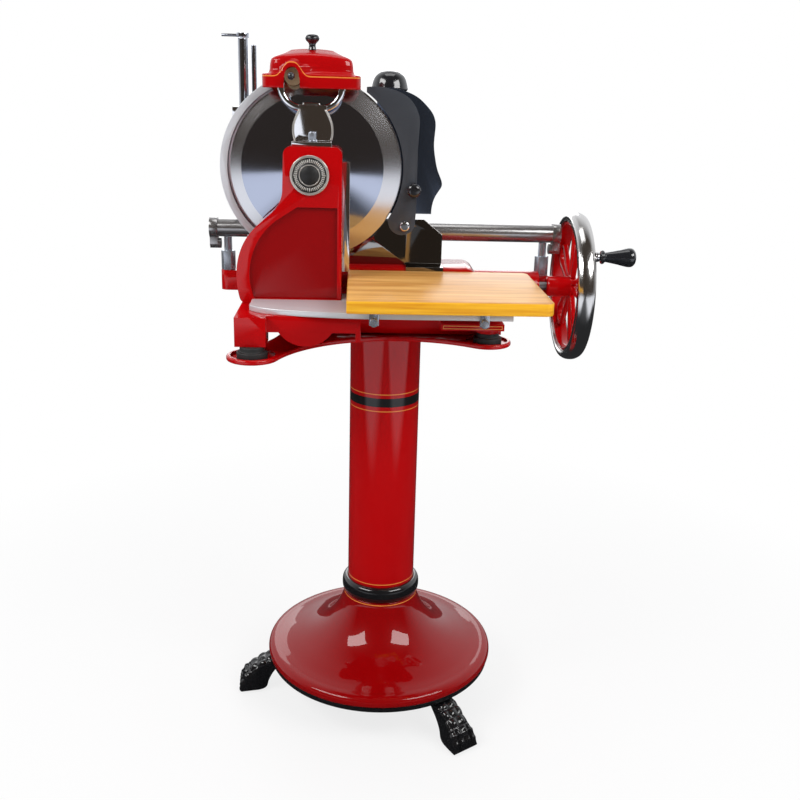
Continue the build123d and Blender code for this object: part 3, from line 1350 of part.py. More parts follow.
with BuildPart() as blade:
    with BuildSketch(dish_plane):
        with BuildLine():
            Polyline(
                (SHAFT_R + SEAT, blade_seat),
                (HUB_FLANGE_R, blade_seat),
                (BLADE_R - BEVEL_WIDTH, BLADE_Y - BLADE_T),
                (BLADE_R, BLADE_Y - 0.3),
                (BLADE_R, BLADE_Y),
                (BLADE_R - BEVEL_WIDTH, BLADE_Y - 0.5),
                (HUB_FLANGE_R + 2, blade_seat + BLADE_T),
                (SHAFT_R + SEAT, blade_seat + BLADE_T),
                close=True,
            )
        make_face()
    revolve(axis=dish_axis)
blade.part.label = "blade"
export_step(blade.part, "parts/blade.step")

with BuildPart() as blade_clamp_plate:
    with BuildSketch(front(blade_seat + BLADE_T + CLAMP_T)):
        disc(BLADE_X, blade_z, HUB_FLANGE_R - 4)
        disc(BLADE_X, blade_z, SHAFT_R + SEAT, mode=Mode.SUBTRACT)
    extrude(amount=CLAMP_T)
blade_clamp_plate.part.label = "blade_clamp_plate"
export_step(blade_clamp_plate.part, "parts/blade_clamp_plate.step")

# ---------------------------------------------------------------- flywheel
STEM_IN = 14
RIM_CROWN = 5
wheel_axis = Axis((0, SHAFT_Y, SHAFT_Z), (1, 0, 0))
wheel_plane = Plane(origin=(0, SHAFT_Y, SHAFT_Z), x_dir=(1, 0, 0), z_dir=(0, -1, 0))
wheel_middle = (WHEEL_LEFT + WHEEL_RIGHT) / 2
handle_y = SHAFT_Y + HANDLE_R * cos(radians(HANDLE_ANGLE))
handle_z = SHAFT_Z + HANDLE_R * sin(radians(HANDLE_ANGLE))
with BuildPart() as flywheel_rim:
    with BuildSketch(wheel_plane):
        with BuildLine():
            Polyline(
                (WHEEL_LEFT, rim_inner + WHEEL_RIM_T - RIM_CROWN),
                (WHEEL_LEFT, rim_inner),
                (WHEEL_RIGHT, rim_inner),
                (WHEEL_RIGHT, rim_inner + WHEEL_RIM_T - RIM_CROWN),
            )
            ThreePointArc(
                (WHEEL_RIGHT, rim_inner + WHEEL_RIM_T - RIM_CROWN),
                (wheel_middle, WHEEL_R),
                (WHEEL_LEFT, rim_inner + WHEEL_RIM_T - RIM_CROWN),
            )
        make_face()
    revolve(axis=wheel_axis)
    with BuildSketch(side(WHEEL_RIGHT - STEM_IN)):
        disc(handle_y, handle_z, SHANK_R + SEAT)
    extrude(amount=STEM_IN, mode=Mode.SUBTRACT)
flywheel_rim.part.label = "flywheel_rim"
export_step(flywheel_rim.part, "parts/flywheel_rim.step")

FLANGE_RING_T = 6
FLANGE_INSET = 3
LOOP_BAR = 8


def loop_drop(near, near_r, far, far_r, turn):
    """A drop shape round the wheel's axis from reach near to reach far, in the sketch that is open."""
    away = (cos(radians(turn)), sin(radians(turn)))
    slope = acos((near_r - far_r) / (far - near))
    corners = []
    for reach, radius, hand in ((near, near_r, 1), (far, far_r, 1), (far, far_r, -1), (near, near_r, -1)):
        lean = radians(turn) + hand * slope
        corners.append(
            (
                SHAFT_Y + away[0] * reach + radius * cos(lean),
                SHAFT_Z + away[1] * reach + radius * sin(lean),
            )
        )
    with BuildLine() as outline:
        Polyline(*corners, close=True)
    return outline, away


SPOKE_FIRST = 100
loop_far = rim_inner - 26
loop_far_r = 22
with BuildPart() as flywheel_spider:
    with BuildSketch(side(WHEEL_LEFT + FLANGE_INSET)):
        disc(SHAFT_Y, SHAFT_Z, rim_inner - SEAT)
        disc(SHAFT_Y, SHAFT_Z, rim_inner - FLANGE_RING_T, mode=Mode.SUBTRACT)
    extrude(amount=WHEEL_RIGHT - WHEEL_LEFT - 2 * FLANGE_INSET)
    with BuildSketch(side(wheel_middle - SPOKE_T / 2)):
        for grow, mode in ((0, Mode.ADD), (-LOOP_BAR, Mode.SUBTRACT)):
            for spoke in range(SPOKE_COUNT):
                turn = SPOKE_FIRST + 360 / SPOKE_COUNT * spoke
                near_r = 11 + grow
                outline, away = loop_drop(HUB_R + 6, near_r, loop_far, loop_far_r + grow, turn)
                make_face(outline.edges(), mode=mode)
                for reach, radius in ((HUB_R + 6, near_r), (loop_far, loop_far_r + grow)):
                    disc(SHAFT_Y + away[0] * reach, SHAFT_Z + away[1] * reach, radius, mode=mode)
    extrude(amount=SPOKE_T)
    with BuildSketch(side(HUB_LEFT)):
        disc(SHAFT_Y, SHAFT_Z, HUB_R)
    extrude(amount=WHEEL_RIGHT - 8 - HUB_LEFT)
    with BuildSketch(side(HUB_LEFT)):
        disc(SHAFT_Y, SHAFT_Z, SHAFT_R + SEAT)
    extrude(amount=WHEEL_RIGHT - HUB_LEFT, mode=Mode.SUBTRACT)
flywheel_spider.part.label = "flywheel_spider"
export_step(flywheel_spider.part, "parts/flywheel_spider.step")

CAP_NUT_R = 11
CAP_NUT_T = 5
with BuildPart() as flywheel_shaft:
    shaft_start = BLADE_X + bevel_near + 1
    with BuildSketch(side(shaft_start)):
        disc(SHAFT_Y, SHAFT_Z, SHAFT_R)
    extrude(amount=WHEEL_RIGHT - 8 - shaft_start)
    with BuildSketch(side(WHEEL_RIGHT - 8)):
        disc(SHAFT_Y, SHAFT_Z, CAP_NUT_R)
    extrude(amount=CAP_NUT_T)
flywheel_shaft.part.label = "flywheel_shaft"
export_step(flywheel_shaft.part, "parts/flywheel_shaft.step")

FERRULE_R = 8
FERRULE_T = 7
STEM_OUT = 48
grip_start = WHEEL_RIGHT + FERRULE_T + MOVE
with BuildPart() as handle_stem:
    with BuildSketch(side(WHEEL_RIGHT - STEM_IN)):
        disc(handle_y, handle_z, SHANK_R)
    extrude(amount=STEM_IN)
    with BuildSketch(side(WHEEL_RIGHT)):
        disc(handle_y, handle_z, FERRULE_R)
    extrude(amount=FERRULE_T)
    with BuildSketch(side(WHEEL_RIGHT + FERRULE_T)):
        disc(handle_y, handle_z, STEM_R)
    extrude(amount=STEM_OUT)
handle_stem.part.label = "handle_stem"
export_step(handle_stem.part, "parts/handle_stem.step")

grip_end = grip_start + GRIP_LENGTH
with BuildPart() as crank_grip:
    grip_plane = Plane(origin=(0, handle_y, handle_z), x_dir=(1, 0, 0), z_dir=(0, -1, 0))
    with BuildSketch(grip_plane):
        with BuildLine():
            Polyline(
                (WHEEL_RIGHT + FERRULE_T + STEM_OUT + MOVE, 0),
                (WHEEL_RIGHT + FERRULE_T + STEM_OUT + MOVE, STEM_R + RUN),
                (grip_start, STEM_R + RUN),
                (grip_start, GRIP_R * 0.62),
                (grip_start + 3, GRIP_R * 0.72),
                (grip_start + 6, GRIP_R * 0.62),
                (grip_start + 8, GRIP_R * 0.5),
            )
            Spline(
                (grip_start + 8, GRIP_R * 0.5),
                (grip_start + 24, GRIP_R * 0.7),
                (grip_start + 44, GRIP_R),
                (grip_end - 4, GRIP_R * 0.74),
                (grip_end, 0),
            )
            Line((grip_end, 0), (WHEEL_RIGHT + FERRULE_T + STEM_OUT + MOVE, 0))
        make_face()
    revolve(axis=Axis((0, handle_y, handle_z), (1, 0, 0)))
crank_grip.part.label = "crank_grip"
export_step(crank_grip.part, "parts/crank_grip.step")

# ---------------------------------------------------------------- rail, its caps and pillars
with BuildPart() as rail_tube:
    with BuildSketch(side(RAIL_LEFT)):
        disc(RAIL_Y, RAIL_Z, RAIL_R)
        disc(RAIL_Y, RAIL_Z, RAIL_BORE, mode=Mode.SUBTRACT)
    extrude(amount=RAIL_RIGHT - RAIL_LEFT)
rail_tube.part.label = "rail_tube"
export_step(rail_tube.part, "parts/rail_tube.step")

CAP_DROP = 27
CAP_LOBE_R = 9
CAP_LOBE_T = 19
CAP_SPIGOT = 8
with BuildPart() as rail_end_caps:
    for cap_x, inward in ((RAIL_LEFT - CAP_T, 1), (RAIL_RIGHT, -1)):
        lobe_x = cap_x if inward > 0 else cap_x + CAP_T - CAP_LOBE_T
        spigot_x = RAIL_LEFT if inward > 0 else RAIL_RIGHT - CAP_SPIGOT
        with BuildSketch(side(cap_x)):
            disc(RAIL_Y, RAIL_Z, CAP_R)
            rect(RAIL_Y - CAP_LOBE_R, RAIL_Z - CAP_DROP, RAIL_Y + CAP_LOBE_R, RAIL_Z)
        extrude(amount=CAP_T)
        with BuildSketch(side(lobe_x)):
            disc(RAIL_Y, RAIL_Z - CAP_DROP, CAP_LOBE_R)
        extrude(amount=CAP_LOBE_T)
        with BuildSketch(side(spigot_x)):
            disc(RAIL_Y, RAIL_Z, RAIL_BORE - SEAT)
        extrude(amount=CAP_SPIGOT)
rail_end_caps.part.label = "rail_end_caps"
export_step(rail_end_caps.part, "parts/rail_end_caps.step")

with BuildPart() as rail_pillars:
    with BuildSketch(Plane.XY.offset(pillar_foot)):
        for pillar_x in (PILLAR_LEFT, PILLAR_RIGHT):
            with Locations((pillar_x, RAIL_Y)):
                RegularPolygon(HEX_FLATS / 2, 6, major_radius=False)
    extrude(amount=HEX_HEIGHT)
    with BuildSketch(Plane.XY.offset(pillar_foot + HEX_HEIGHT)):
        for pillar_x in (PILLAR_LEFT, PILLAR_RIGHT):
            disc(pillar_x, RAIL_Y, PILLAR_R)
    extrude(amount=RAIL_Z - RAIL_R - SEAT - pillar_foot - HEX_HEIGHT)
rail_pillars.part.label = "rail_pillars"
export_step(rail_pillars.part, "parts/rail_pillars.step")

rear_pad_top = foot_top + REAR_PAD_T
guide_low = rear_pad_top + GUIDE_LIFT
GUIDE_LEFT = -222
GUIDE_RIGHT = 192
with BuildPart() as rear_guide_bar:
    with BuildSketch(Plane.XY.offset(guide_low)):
        rect(GUIDE_LEFT, GUIDE_Y - GUIDE_WIDTH / 2, GUIDE_RIGHT, GUIDE_Y + GUIDE_WIDTH / 2)
    extrude(amount=GUIDE_T)
    with BuildSketch(Plane.XY.offset(rear_pad_top)):
        for corner in ("rear_right", "rear_left"):
            block_x = FOOT_PLACES[corner][0]
            rect(
                block_x - GUIDE_WIDTH / 2,
                GUIDE_Y - GUIDE_WIDTH / 2,
                block_x + GUIDE_WIDTH / 2,
                GUIDE_Y + GUIDE_WIDTH / 2,
            )
    extrude(amount=GUIDE_LIFT)
rear_guide_bar.part.label = "rear_guide_bar"
export_step(rear_guide_bar.part, "parts/rear_guide_bar.step")

# ---------------------------------------------------------------- carriage
LEG_WIDTH = 36
LEG_T = 14
BRACKET_T = 5
BRACKET_WIDTH = 34
sleeve_right = SLEEVE_LEFT + SLEEVE_LENGTH
platform_low = RAIL_Z + SLEEVE_R
guide_top = guide_low + GUIDE_T
lever_tip = along_lever(lever_reach)
bracket_front = lever_front + LEVER_T + PIN_R + MOVE
SCREW_DROP = 20
screw_z = platform_low - SCREW_DROP + 8
screw_x = sleeve_right + 16
SCREW_LUG_T = 12
with BuildPart() as carriage_frame:
    with BuildSketch(side(SLEEVE_LEFT)):
        disc(RAIL_Y, RAIL_Z, SLEEVE_R)
        rect(RAIL_Y - SLEEVE_R, RAIL_Z, RAIL_Y + SLEEVE_R, platform_low)
        disc(RAIL_Y, RAIL_Z, RAIL_R + RUN, mode=Mode.SUBTRACT)
    extrude(amount=SLEEVE_LENGTH)
    with BuildSketch(Plane.XY.offset(platform_low)):
        rect(SLEEVE_LEFT, RAIL_Y - SLEEVE_R, sleeve_right, CARRIAGE_REAR)
    extrude(amount=CARRIAGE_T)
    leg_x = (SLEEVE_LEFT + sleeve_right) / 2
    with BuildSketch(Plane.XY.offset(guide_top + MOVE)):
        rect(leg_x - LEG_WIDTH / 2, GUIDE_Y - LEG_T / 2, leg_x + LEG_WIDTH / 2, GUIDE_Y + LEG_T / 2)
    extrude(amount=platform_low - guide_top - MOVE)
    with BuildSketch(front(bracket_front + BRACKET_T)):
        rect(
            lever_tip[0] - BRACKET_WIDTH / 2,
            lever_tip[1] - 4 * PIN_R,
            lever_tip[0] + BRACKET_WIDTH / 2,
            platform_low,
        )
    extrude(amount=BRACKET_T)
    with BuildSketch(front(bracket_front + BRACKET_T)):
        rect(
            lever_tip[0] - PIN_R - MOVE,
            lever_tip[1] - 2 * PIN_R,
            lever_tip[0] + PIN_R + MOVE,
            lever_tip[1] + 6 * PIN_R,
        )
    extrude(amount=BRACKET_T, mode=Mode.SUBTRACT)
    with BuildSketch(front(CARRIAGE_REAR)):
        rect(sleeve_right - 8, screw_z - 10, screw_x + 10, platform_low + CARRIAGE_T)
        disc(screw_x, screw_z, SCREW_R + RUN, mode=Mode.SUBTRACT)
    extrude(amount=SCREW_LUG_T)
carriage_frame.part.label = "carriage_frame"
export_step(carriage_frame.part, "parts/carriage_frame.step")

NUT_LUG_Y = 118
with BuildPart() as product_table:
    with BuildSketch(Plane.XY.offset(table_z)):
        rect(TABLE_LEFT, TABLE_FRONT, TABLE_RIGHT, TABLE_REAR)
    extrude(amount=TABLE_T)
    with BuildSketch(Plane.XY.offset(platform_low + MOVE)):
        rect(SLEEVE_LEFT - MOVE - 6, TABLE_FRONT, SLEEVE_LEFT - MOVE, TABLE_REAR)
    extrude(amount=CARRIAGE_T)
    with BuildSketch(front(NUT_LUG_Y)):
        rect(screw_x - 9, screw_z - 9, screw_x + 9, table_z)
        disc(screw_x, screw_z, SCREW_R + RUN, mode=Mode.SUBTRACT)
    extrude(amount=SCREW_LUG_T)
product_table.part.label = "product_table"
export_step(product_table.part, "parts/product_table.step")

HAND_KNOB_R = 14
HAND_KNOB_T = 16
screw_front = NUT_LUG_Y - 3 * SCREW_LUG_T
with BuildPart() as feed_screw:
    with BuildSketch(front(CARRIAGE_REAR + MOVE)):
        disc(screw_x, screw_z, SCREW_R)
    extrude(amount=CARRIAGE_REAR + MOVE - screw_front)
    with BuildSketch(front(CARRIAGE_REAR + MOVE + HAND_KNOB_T)):
        disc(screw_x, screw_z, HAND_KNOB_R)
    extrude(amount=HAND_KNOB_T)
feed_screw.part.label = "feed_screw"
export_step(feed_screw.part, "parts/feed_screw.step")

FENCE_LEFT = -22
FENCE_LOW = SLICER_Z + 178
FENCE_EDGE = (
    (76, 178),
    (77, 192),
    (81, 206),
    (88, 218),
    (93, 228),
    (91, 238),
    (85, 252),
    (80, 272),
    (77, 294),
    (78, 316),
    (78, 334),
    (73, 347),
    (63, 359),
    (48, 372),
    (29, 381),
    (4, 387),
)
fence_top = SLICER_Z + FENCE_EDGE[-1][1]
KNOB_ARM_Z = SLICER_Z + 350
KNOB_ARM_WIDTH = 20
fence_back = FENCE_FRONT + FENCE_T
fence_knob_y = fence_back + FENCE_KNOB_R + 3
with BuildPart() as fence_plate:
    with BuildSketch(front(fence_back)):
        with BuildLine():
            Polyline((FENCE_LEFT, fence_top), (FENCE_LEFT, FENCE_LOW), (76, FENCE_LOW))
            Spline(*[(x, SLICER_Z + rise) for x, rise in FENCE_EDGE])
            Line((FENCE_EDGE[-1][0], fence_top), (FENCE_LEFT, fence_top))
        make_face()
    extrude(amount=FENCE_T)
    with BuildSketch(Plane.XY.offset(table_top)):
        rect(FENCE_LEFT, fence_back, TABLE_RIGHT, fence_back + 16)
    extrude(amount=FENCE_T)
    with BuildSketch(Plane.XY.offset(KNOB_ARM_Z)):
        rect(-KNOB_ARM_WIDTH / 2, fence_back, KNOB_ARM_WIDTH / 2, fence_knob_y + KNOB_ARM_WIDTH / 2)
    extrude(amount=KNOB_ARM_WIDTH / 2)
fence_plate.part.label = "fence_plate"
export_step(fence_plate.part, "parts/fence_plate.step")

KNOB_NECK_R = 9
KNOB_DOME = 30
with BuildPart() as fence_knob:
    knob_plane = Plane(origin=(0, fence_knob_y, 0), x_dir=(1, 0, 0), z_dir=(0, -1, 0))
    with BuildSketch(knob_plane):
        with BuildLine():
            Polyline(
                (0, FENCE_KNOB_TOP),
                (0, KNOB_ARM_Z + KNOB_ARM_WIDTH / 2),
                (KNOB_NECK_R, KNOB_ARM_Z + KNOB_ARM_WIDTH / 2),
                (KNOB_NECK_R, FENCE_KNOB_TOP - KNOB_DOME - 6),
                (FENCE_KNOB_R, FENCE_KNOB_TOP - KNOB_DOME),
            )
            Spline(
                (FENCE_KNOB_R, FENCE_KNOB_TOP - KNOB_DOME),
                (FENCE_KNOB_R * 0.78, FENCE_KNOB_TOP - KNOB_DOME * 0.28),
                (0, FENCE_KNOB_TOP),
            )
        make_face()
    revolve(axis=Axis((0, fence_knob_y, 0), (0, 0, 1)))
fence_knob.part.label = "fence_knob"
export_step(fence_knob.part, "parts/fence_knob.step")

with BuildPart() as clamp_posts:
    for post_x, post_r in POSTS.items():
        with BuildSketch(Plane.XY.offset(table_top)):
            disc(post_x, POST_Y, post_r)
        extrude(amount=POST_TOPS[post_x] - table_top)
clamp_posts.part.label = "clamp_posts"
export_step(clamp_posts.part, "parts/clamp_posts.step")

SPIKE_COUNT = 6
SPIKE_LENGTH = 12
ARM_T = 10
with BuildPart() as press_arm:
    with BuildSketch(Plane.XY.offset(PRESS_Z)):
        rect(TABLE_LEFT - 6, POST_Y - 14, -228, POST_Y + 14)
        rect(-230, POST_Y - ARM_T, -228 + PRESS_REACH, POST_Y + ARM_T)
        for post_x, post_r in POSTS.items():
            disc(post_x, POST_Y, post_r + RUN, mode=Mode.SUBTRACT)
    extrude(amount=PRESS_T)
    with BuildSketch(Plane.XY.offset(PRESS_Z - ARM_T)):
        rect(-205, POST_Y - 45, -228 + PRESS_REACH, POST_Y + 45)
    extrude(amount=ARM_T)
    for spike in range(SPIKE_COUNT):
        with Locations((-195 + spike * 21, POST_Y, PRESS_Z - ARM_T - SPIKE_LENGTH / 2)):
            Cone(0.5, 4, SPIKE_LENGTH)
press_arm.part.label = "press_arm"
export_step(press_arm.part, "parts/press_arm.step")

CLAMP_HUB_R = 11
CLAMP_HUB_T = 8
CLAMP_BAR_R = 2.5
CLAMP_BAR_REACH = 37
main_post = min(POSTS)
with BuildPart() as clamp_handle:
    with BuildSketch(Plane.XY.offset(POST_TOPS[main_post] + MOVE)):
        disc(main_post, POST_Y, CLAMP_HUB_R)
    extrude(amount=CLAMP_HUB_T)
    with BuildSketch(side(main_post - CLAMP_BAR_REACH)):
        disc(POST_Y, POST_TOPS[main_post] + MOVE + CLAMP_HUB_T / 2, CLAMP_BAR_R)
    extrude(amount=CLAMP_BAR_REACH)
clamp_handle.part.label = "clamp_handle"
export_step(clamp_handle.part, "parts/clamp_handle.step")
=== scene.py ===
import bmesh
import bpy
import numpy as np
from mathutils import Matrix


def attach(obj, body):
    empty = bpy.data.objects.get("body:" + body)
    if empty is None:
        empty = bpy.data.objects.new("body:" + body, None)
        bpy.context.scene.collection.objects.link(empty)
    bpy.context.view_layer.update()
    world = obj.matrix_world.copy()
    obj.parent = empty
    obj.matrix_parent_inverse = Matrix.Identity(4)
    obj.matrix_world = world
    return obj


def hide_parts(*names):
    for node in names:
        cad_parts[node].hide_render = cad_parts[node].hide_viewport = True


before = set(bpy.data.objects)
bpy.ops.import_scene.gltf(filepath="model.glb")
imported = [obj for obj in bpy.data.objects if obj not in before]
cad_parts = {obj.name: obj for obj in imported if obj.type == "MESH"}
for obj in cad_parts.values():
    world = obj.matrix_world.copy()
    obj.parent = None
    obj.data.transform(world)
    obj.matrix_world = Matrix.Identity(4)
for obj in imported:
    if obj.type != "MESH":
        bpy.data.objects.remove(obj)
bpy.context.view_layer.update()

# ------------------------------------------------------------------ studio
# Pale floor that fades to white, two soft boxes high at both sides, a soft ceiling and a soft
# wall behind. The camera stands just left of the column's axis, level with the blade's top.
EYE = (-0.0548, -1.6801, 1.1188)
EYE_RIGHT = (0.99881826, -0.04143155, 0.02540683)
EYE_UP = (-0.01169645, 0.30247986, 0.95308401)
EYE_AHEAD = (0.0471728, 0.95225488, -0.3016378)
eye = bpy.data.objects.new("camera", bpy.data.cameras.new("camera"))
eye.data.sensor_width = 36
eye.data.lens = 43.649
eye.data.clip_end = 60
eye.matrix_world = Matrix(
    [(EYE_RIGHT[i], EYE_UP[i], -EYE_AHEAD[i], EYE[i]) for i in range(3)] + [(0, 0, 0, 1)]
)
bpy.context.scene.collection.objects.link(eye)
bpy.context.scene.camera = eye
bpy.context.scene.view_settings.view_transform = "Standard"


def soft_box(name, place, aim, wide, high, glow):
    """A square-cornered lamp at `place` facing `aim`; its power is glow x pi x its area."""
    lamp = bpy.data.lights.new(name, "AREA")
    lamp.shape = "RECTANGLE"
    lamp.size, lamp.size_y = wide, high
    lamp.energy = glow * np.pi * wide * high
    back = np.subtract(place, aim) / np.linalg.norm(np.subtract(place, aim))
    side = np.cross((0, 0, 1), back) if abs(back[2]) < 0.99 else np.array((1.0, 0, 0))
    side /= np.linalg.norm(side)
    up = np.cross(back, side)
    stand = bpy.data.objects.new(name, lamp)
    stand.matrix_world = Matrix(
        [(side[i], up[i], back[i], place[i]) for i in range(3)] + [(0, 0, 0, 1)]
    )
    bpy.context.scene.collection.objects.link(stand)


soft_box("soft_box_left", (-1.75, -1.10, 2.35), (0, 0, 0.5), 1.6, 0.9, 8.2)
soft_box("soft_box_right", (1.65, -1.40, 2.25), (0, 0, 0.5), 1.6, 0.9, 7.8)
soft_box("soft_ceiling", (0, 0.2, 2.9), (0, 0, 0), 1.2, 1.0, 1.7)
soft_box("soft_wall", (-0.05, 2.5, 1.45), (0, 0, 0.9), 1.9, 1.1, 1.9)

studio = bpy.data.worlds.new("studio")
bpy.context.scene.world = studio
studio.use_nodes = True
nodes, links = studio.node_tree.nodes, studio.node_tree.links
way = nodes.new("ShaderNodeTexCoord")
split = nodes.new("ShaderNodeSeparateXYZ")
room = nodes.new("ShaderNodeValToRGB")
room.color_ramp.elements[0].position = 0.62
room.color_ramp.elements[0].color = (0.045, 0.034, 0.026, 1)
room.color_ramp.elements[1].position = 0.97
room.color_ramp.elements[1].color = (0.85, 0.86, 0.88, 1)
level = nodes.new("ShaderNodeMapRange")
level.inputs["From Min"].default_value = -1
level.inputs["From Max"].default_value = 1
ray = nodes.new("ShaderNodeLightPath")
glossy = nodes.new("ShaderNodeMix")
glossy.data_type = "RGBA"
glossy.inputs["A"].default_value = (0.40, 0.40, 0.41, 1)
seen = nodes.new("ShaderNodeMix")
seen.data_type = "RGBA"
seen.inputs["B"].default_value = (1, 1, 1, 1)
links.new(way.outputs["Generated"], split.inputs[0])
aside = nodes.new("ShaderNodeMath")
aside.operation = "ABSOLUTE"
toward = nodes.new("ShaderNodeMath")
toward.operation = "MULTIPLY_ADD"
toward.inputs[1].default_value = 0.72
links.new(split.outputs["X"], aside.inputs[0])
links.new(aside.outputs[0], toward.inputs[0])
links.new(split.outputs["Y"], toward.inputs[2])
links.new(toward.outputs[0], level.inputs["Value"])
links.new(level.outputs["Result"], room.inputs["Fac"])
links.new(ray.outputs["Is Glossy Ray"], glossy.inputs["Factor"])
links.new(room.outputs["Color"], glossy.inputs["B"])
links.new(ray.outputs["Is Camera Ray"], seen.inputs["Factor"])
links.new(glossy.outputs["Result"], seen.inputs["A"])
links.new(seen.outputs["Result"], nodes["Background"].inputs["Color"])

floor_mesh = bpy.data.meshes.new("floor")
floor_mesh.from_pydata([(-9, -9, 0), (9, -9, 0), (9, 9, 0), (-9, 9, 0)], [], [(0, 1, 2, 3)])
floor = bpy.data.objects.new("floor", floor_mesh)
bpy.context.scene.collection.objects.link(floor)
floor_paint = bpy.data.materials.new("floor_paint")
floor_paint.use_nodes = True
nodes, links = floor_paint.node_tree.nodes, floor_paint.node_tree.links
nodes["Principled BSDF"].inputs["Base Color"].default_value = (0.86, 0.86, 0.86, 1)
nodes["Principled BSDF"].inputs["Roughness"].default_value = 0.6
place = nodes.new("ShaderNodeTexCoord")
away = nodes.new("ShaderNodeVectorMath")
away.operation = "DISTANCE"
away.inputs[1].default_value = (0, 0.1, 0)
fade = nodes.new("ShaderNodeMapRange")
fade.inputs["From Min"].default_value, fade.inputs["From Max"].default_value = 0.45, 1.3
fade.inputs["To Min"].default_value, fade.inputs["To Max"].default_value = 0.80, 1.0
glow = nodes.new("ShaderNodeEmission")
ray = nodes.new("ShaderNodeLightPath")
share = nodes.new("ShaderNodeMath")
share.operation = "MULTIPLY"
blend = nodes.new("ShaderNodeMixShader")
split = nodes.new("ShaderNodeSeparateXYZ")
ahead = nodes.new("ShaderNodeMapRange")
ahead.inputs["From Min"].default_value, ahead.inputs["From Max"].default_value = -0.7, -2.0
ahead.inputs["To Min"].default_value, ahead.inputs["To Max"].default_value = 0.03, 0.13
mirrored = nodes.new("ShaderNodeEmission")
mirrored.inputs["Color"].default_value = (0.90, 0.93, 1.0, 1)
either = nodes.new("ShaderNodeMixShader")
links.new(place.outputs["Object"], away.inputs[0])
links.new(place.outputs["Object"], split.inputs[0])
links.new(away.outputs["Value"], fade.inputs["Value"])
links.new(fade.outputs["Result"], share.inputs[0])
links.new(ray.outputs["Is Camera Ray"], share.inputs[1])
links.new(share.outputs[0], blend.inputs["Fac"])
links.new(nodes["Principled BSDF"].outputs[0], blend.inputs[1])
links.new(glow.outputs[0], blend.inputs[2])
links.new(split.outputs["Y"], ahead.inputs["Value"])
strength = ahead.outputs["Result"]
for near, far, bright in ((-0.55, -1.25, 1.0), (0.65, 1.15, 1.0)):
    aside = nodes.new("ShaderNodeMapRange")
    aside.inputs["From Min"].default_value, aside.inputs["From Max"].default_value = near, far
    aside.inputs["To Max"].default_value = bright
    before = nodes.new("ShaderNodeMapRange")
    before.inputs["From Min"].default_value, before.inputs["From Max"].default_value = -0.8, -1.3
    patch = nodes.new("ShaderNodeMath")
    patch.operation = "MULTIPLY"
    total = nodes.new("ShaderNodeMath")
    total.operation = "ADD"
    links.new(split.outputs["X"], aside.inputs["Value"])
    links.new(split.outputs["Y"], before.inputs["Value"])
    links.new(aside.outputs["Result"], patch.inputs[0])
    links.new(before.outputs["Result"], patch.inputs[1])
    links.new(patch.outputs[0], total.inputs[0])
    links.new(strength, total.inputs[1])
    strength = total.outputs[0]
links.new(strength, mirrored.inputs["Strength"])
links.new(ray.outputs["Is Glossy Ray"], either.inputs["Fac"])
links.new(blend.outputs[0], either.inputs[1])
links.new(mirrored.outputs[0], either.inputs[2])
links.new(either.outputs[0], nodes["Material Output"].inputs["Surface"])
floor_mesh.materials.append(floor_paint)

# ------------------------------------------------------------------ lion-paw feet
# Three grey-iron castings, enamelled black: a short leg that comes from under the base plate,
# curls of fur down its top, and four toes on a flat sole. Screwed up into the plate.
PAW_ANGLES = (184, 304, 64)
PAW_TOP_LINE = (
    (164, 72), (186, 71.5), (205, 70.5), (221, 66), (236, 58), (250, 48.5), (263, 38), (
        271.5, 24,
    ), (275, 9),
)
PAW_UNDER_LINE = (
    (164, 66), (182, 62), (196, 50), (208, 34), (216, 17), (220, 4), (230, 0), (247, 0), (267, 0),
)
PAW_HALF_WIDTHS = (17, 20, 22, 22, 22, 23.5, 26, 27, 26)


def flowing(points, steps=12):
    """A curve through the points: from P1 to P2 it is the cubic with slopes (P2-P0)/2 and (P3-P1)/2."""
    p = np.asarray(points, float)
    p = np.vstack((2 * p[0] - p[1], p, 2 * p[-1] - p[-2]))
    t = np.linspace(0, 1, steps, endpoint=False)[None, :, None]
    p0, p1, p2, p3 = (p[i : len(p) - 3 + i, None] for i in range(4))
    curve = 2 * p1 + (p2 - p0) * t + (2 * p0 - 5 * p1 + 4 * p2 - p3) * t**2
    curve = (curve + (3 * p1 - p0 - 3 * p2 + p3) * t**3) / 2
    return np.vstack((curve.reshape(-1, p.shape[1]), p[-2]))


def skin(name, grids, around=True, along=False):
    """A mesh over grids of points in millimetres: point (i, j) makes a four-sided face with
    (i+1, j), (i+1, j+1) and (i, j+1). `around` joins the last column to the first, `along`
    the last row. Points that meet are made one, and faces are turned outwards."""
    points, faces, start = [], [], 0
    for grid in grids:
        rows, columns = grid.shape[:2]
        i = np.arange(rows if along else rows - 1)[:, None]
        j = np.arange(columns if around else columns - 1)[None, :]
        i2, j2 = (i + 1) % rows, (j + 1) % columns
        corners = (i * columns + j, i2 * columns + j, i2 * columns + j2, i * columns + j2)
        faces.append(start + np.stack(np.broadcast_arrays(*corners), -1).reshape(-1, 4))
        points.append(grid.reshape(-1, 3) / 1000)
        start += rows * columns
    mesh = bpy.data.meshes.new(name)
    mesh.from_pydata(np.vstack(points).tolist(), [], np.vstack(faces).tolist())
    shell = bmesh.new()
    shell.from_mesh(mesh)
    bmesh.ops.remove_doubles(shell, verts=shell.verts, dist=1e-6)
    bmesh.ops.recalc_face_normals(shell, faces=shell.faces)
    shell.to_mesh(mesh)
    shell.free()
    mesh.shade_smooth()
    piece = bpy.data.objects.new(name, mesh)
    bpy.context.scene.collection.objects.link(piece)
    return piece


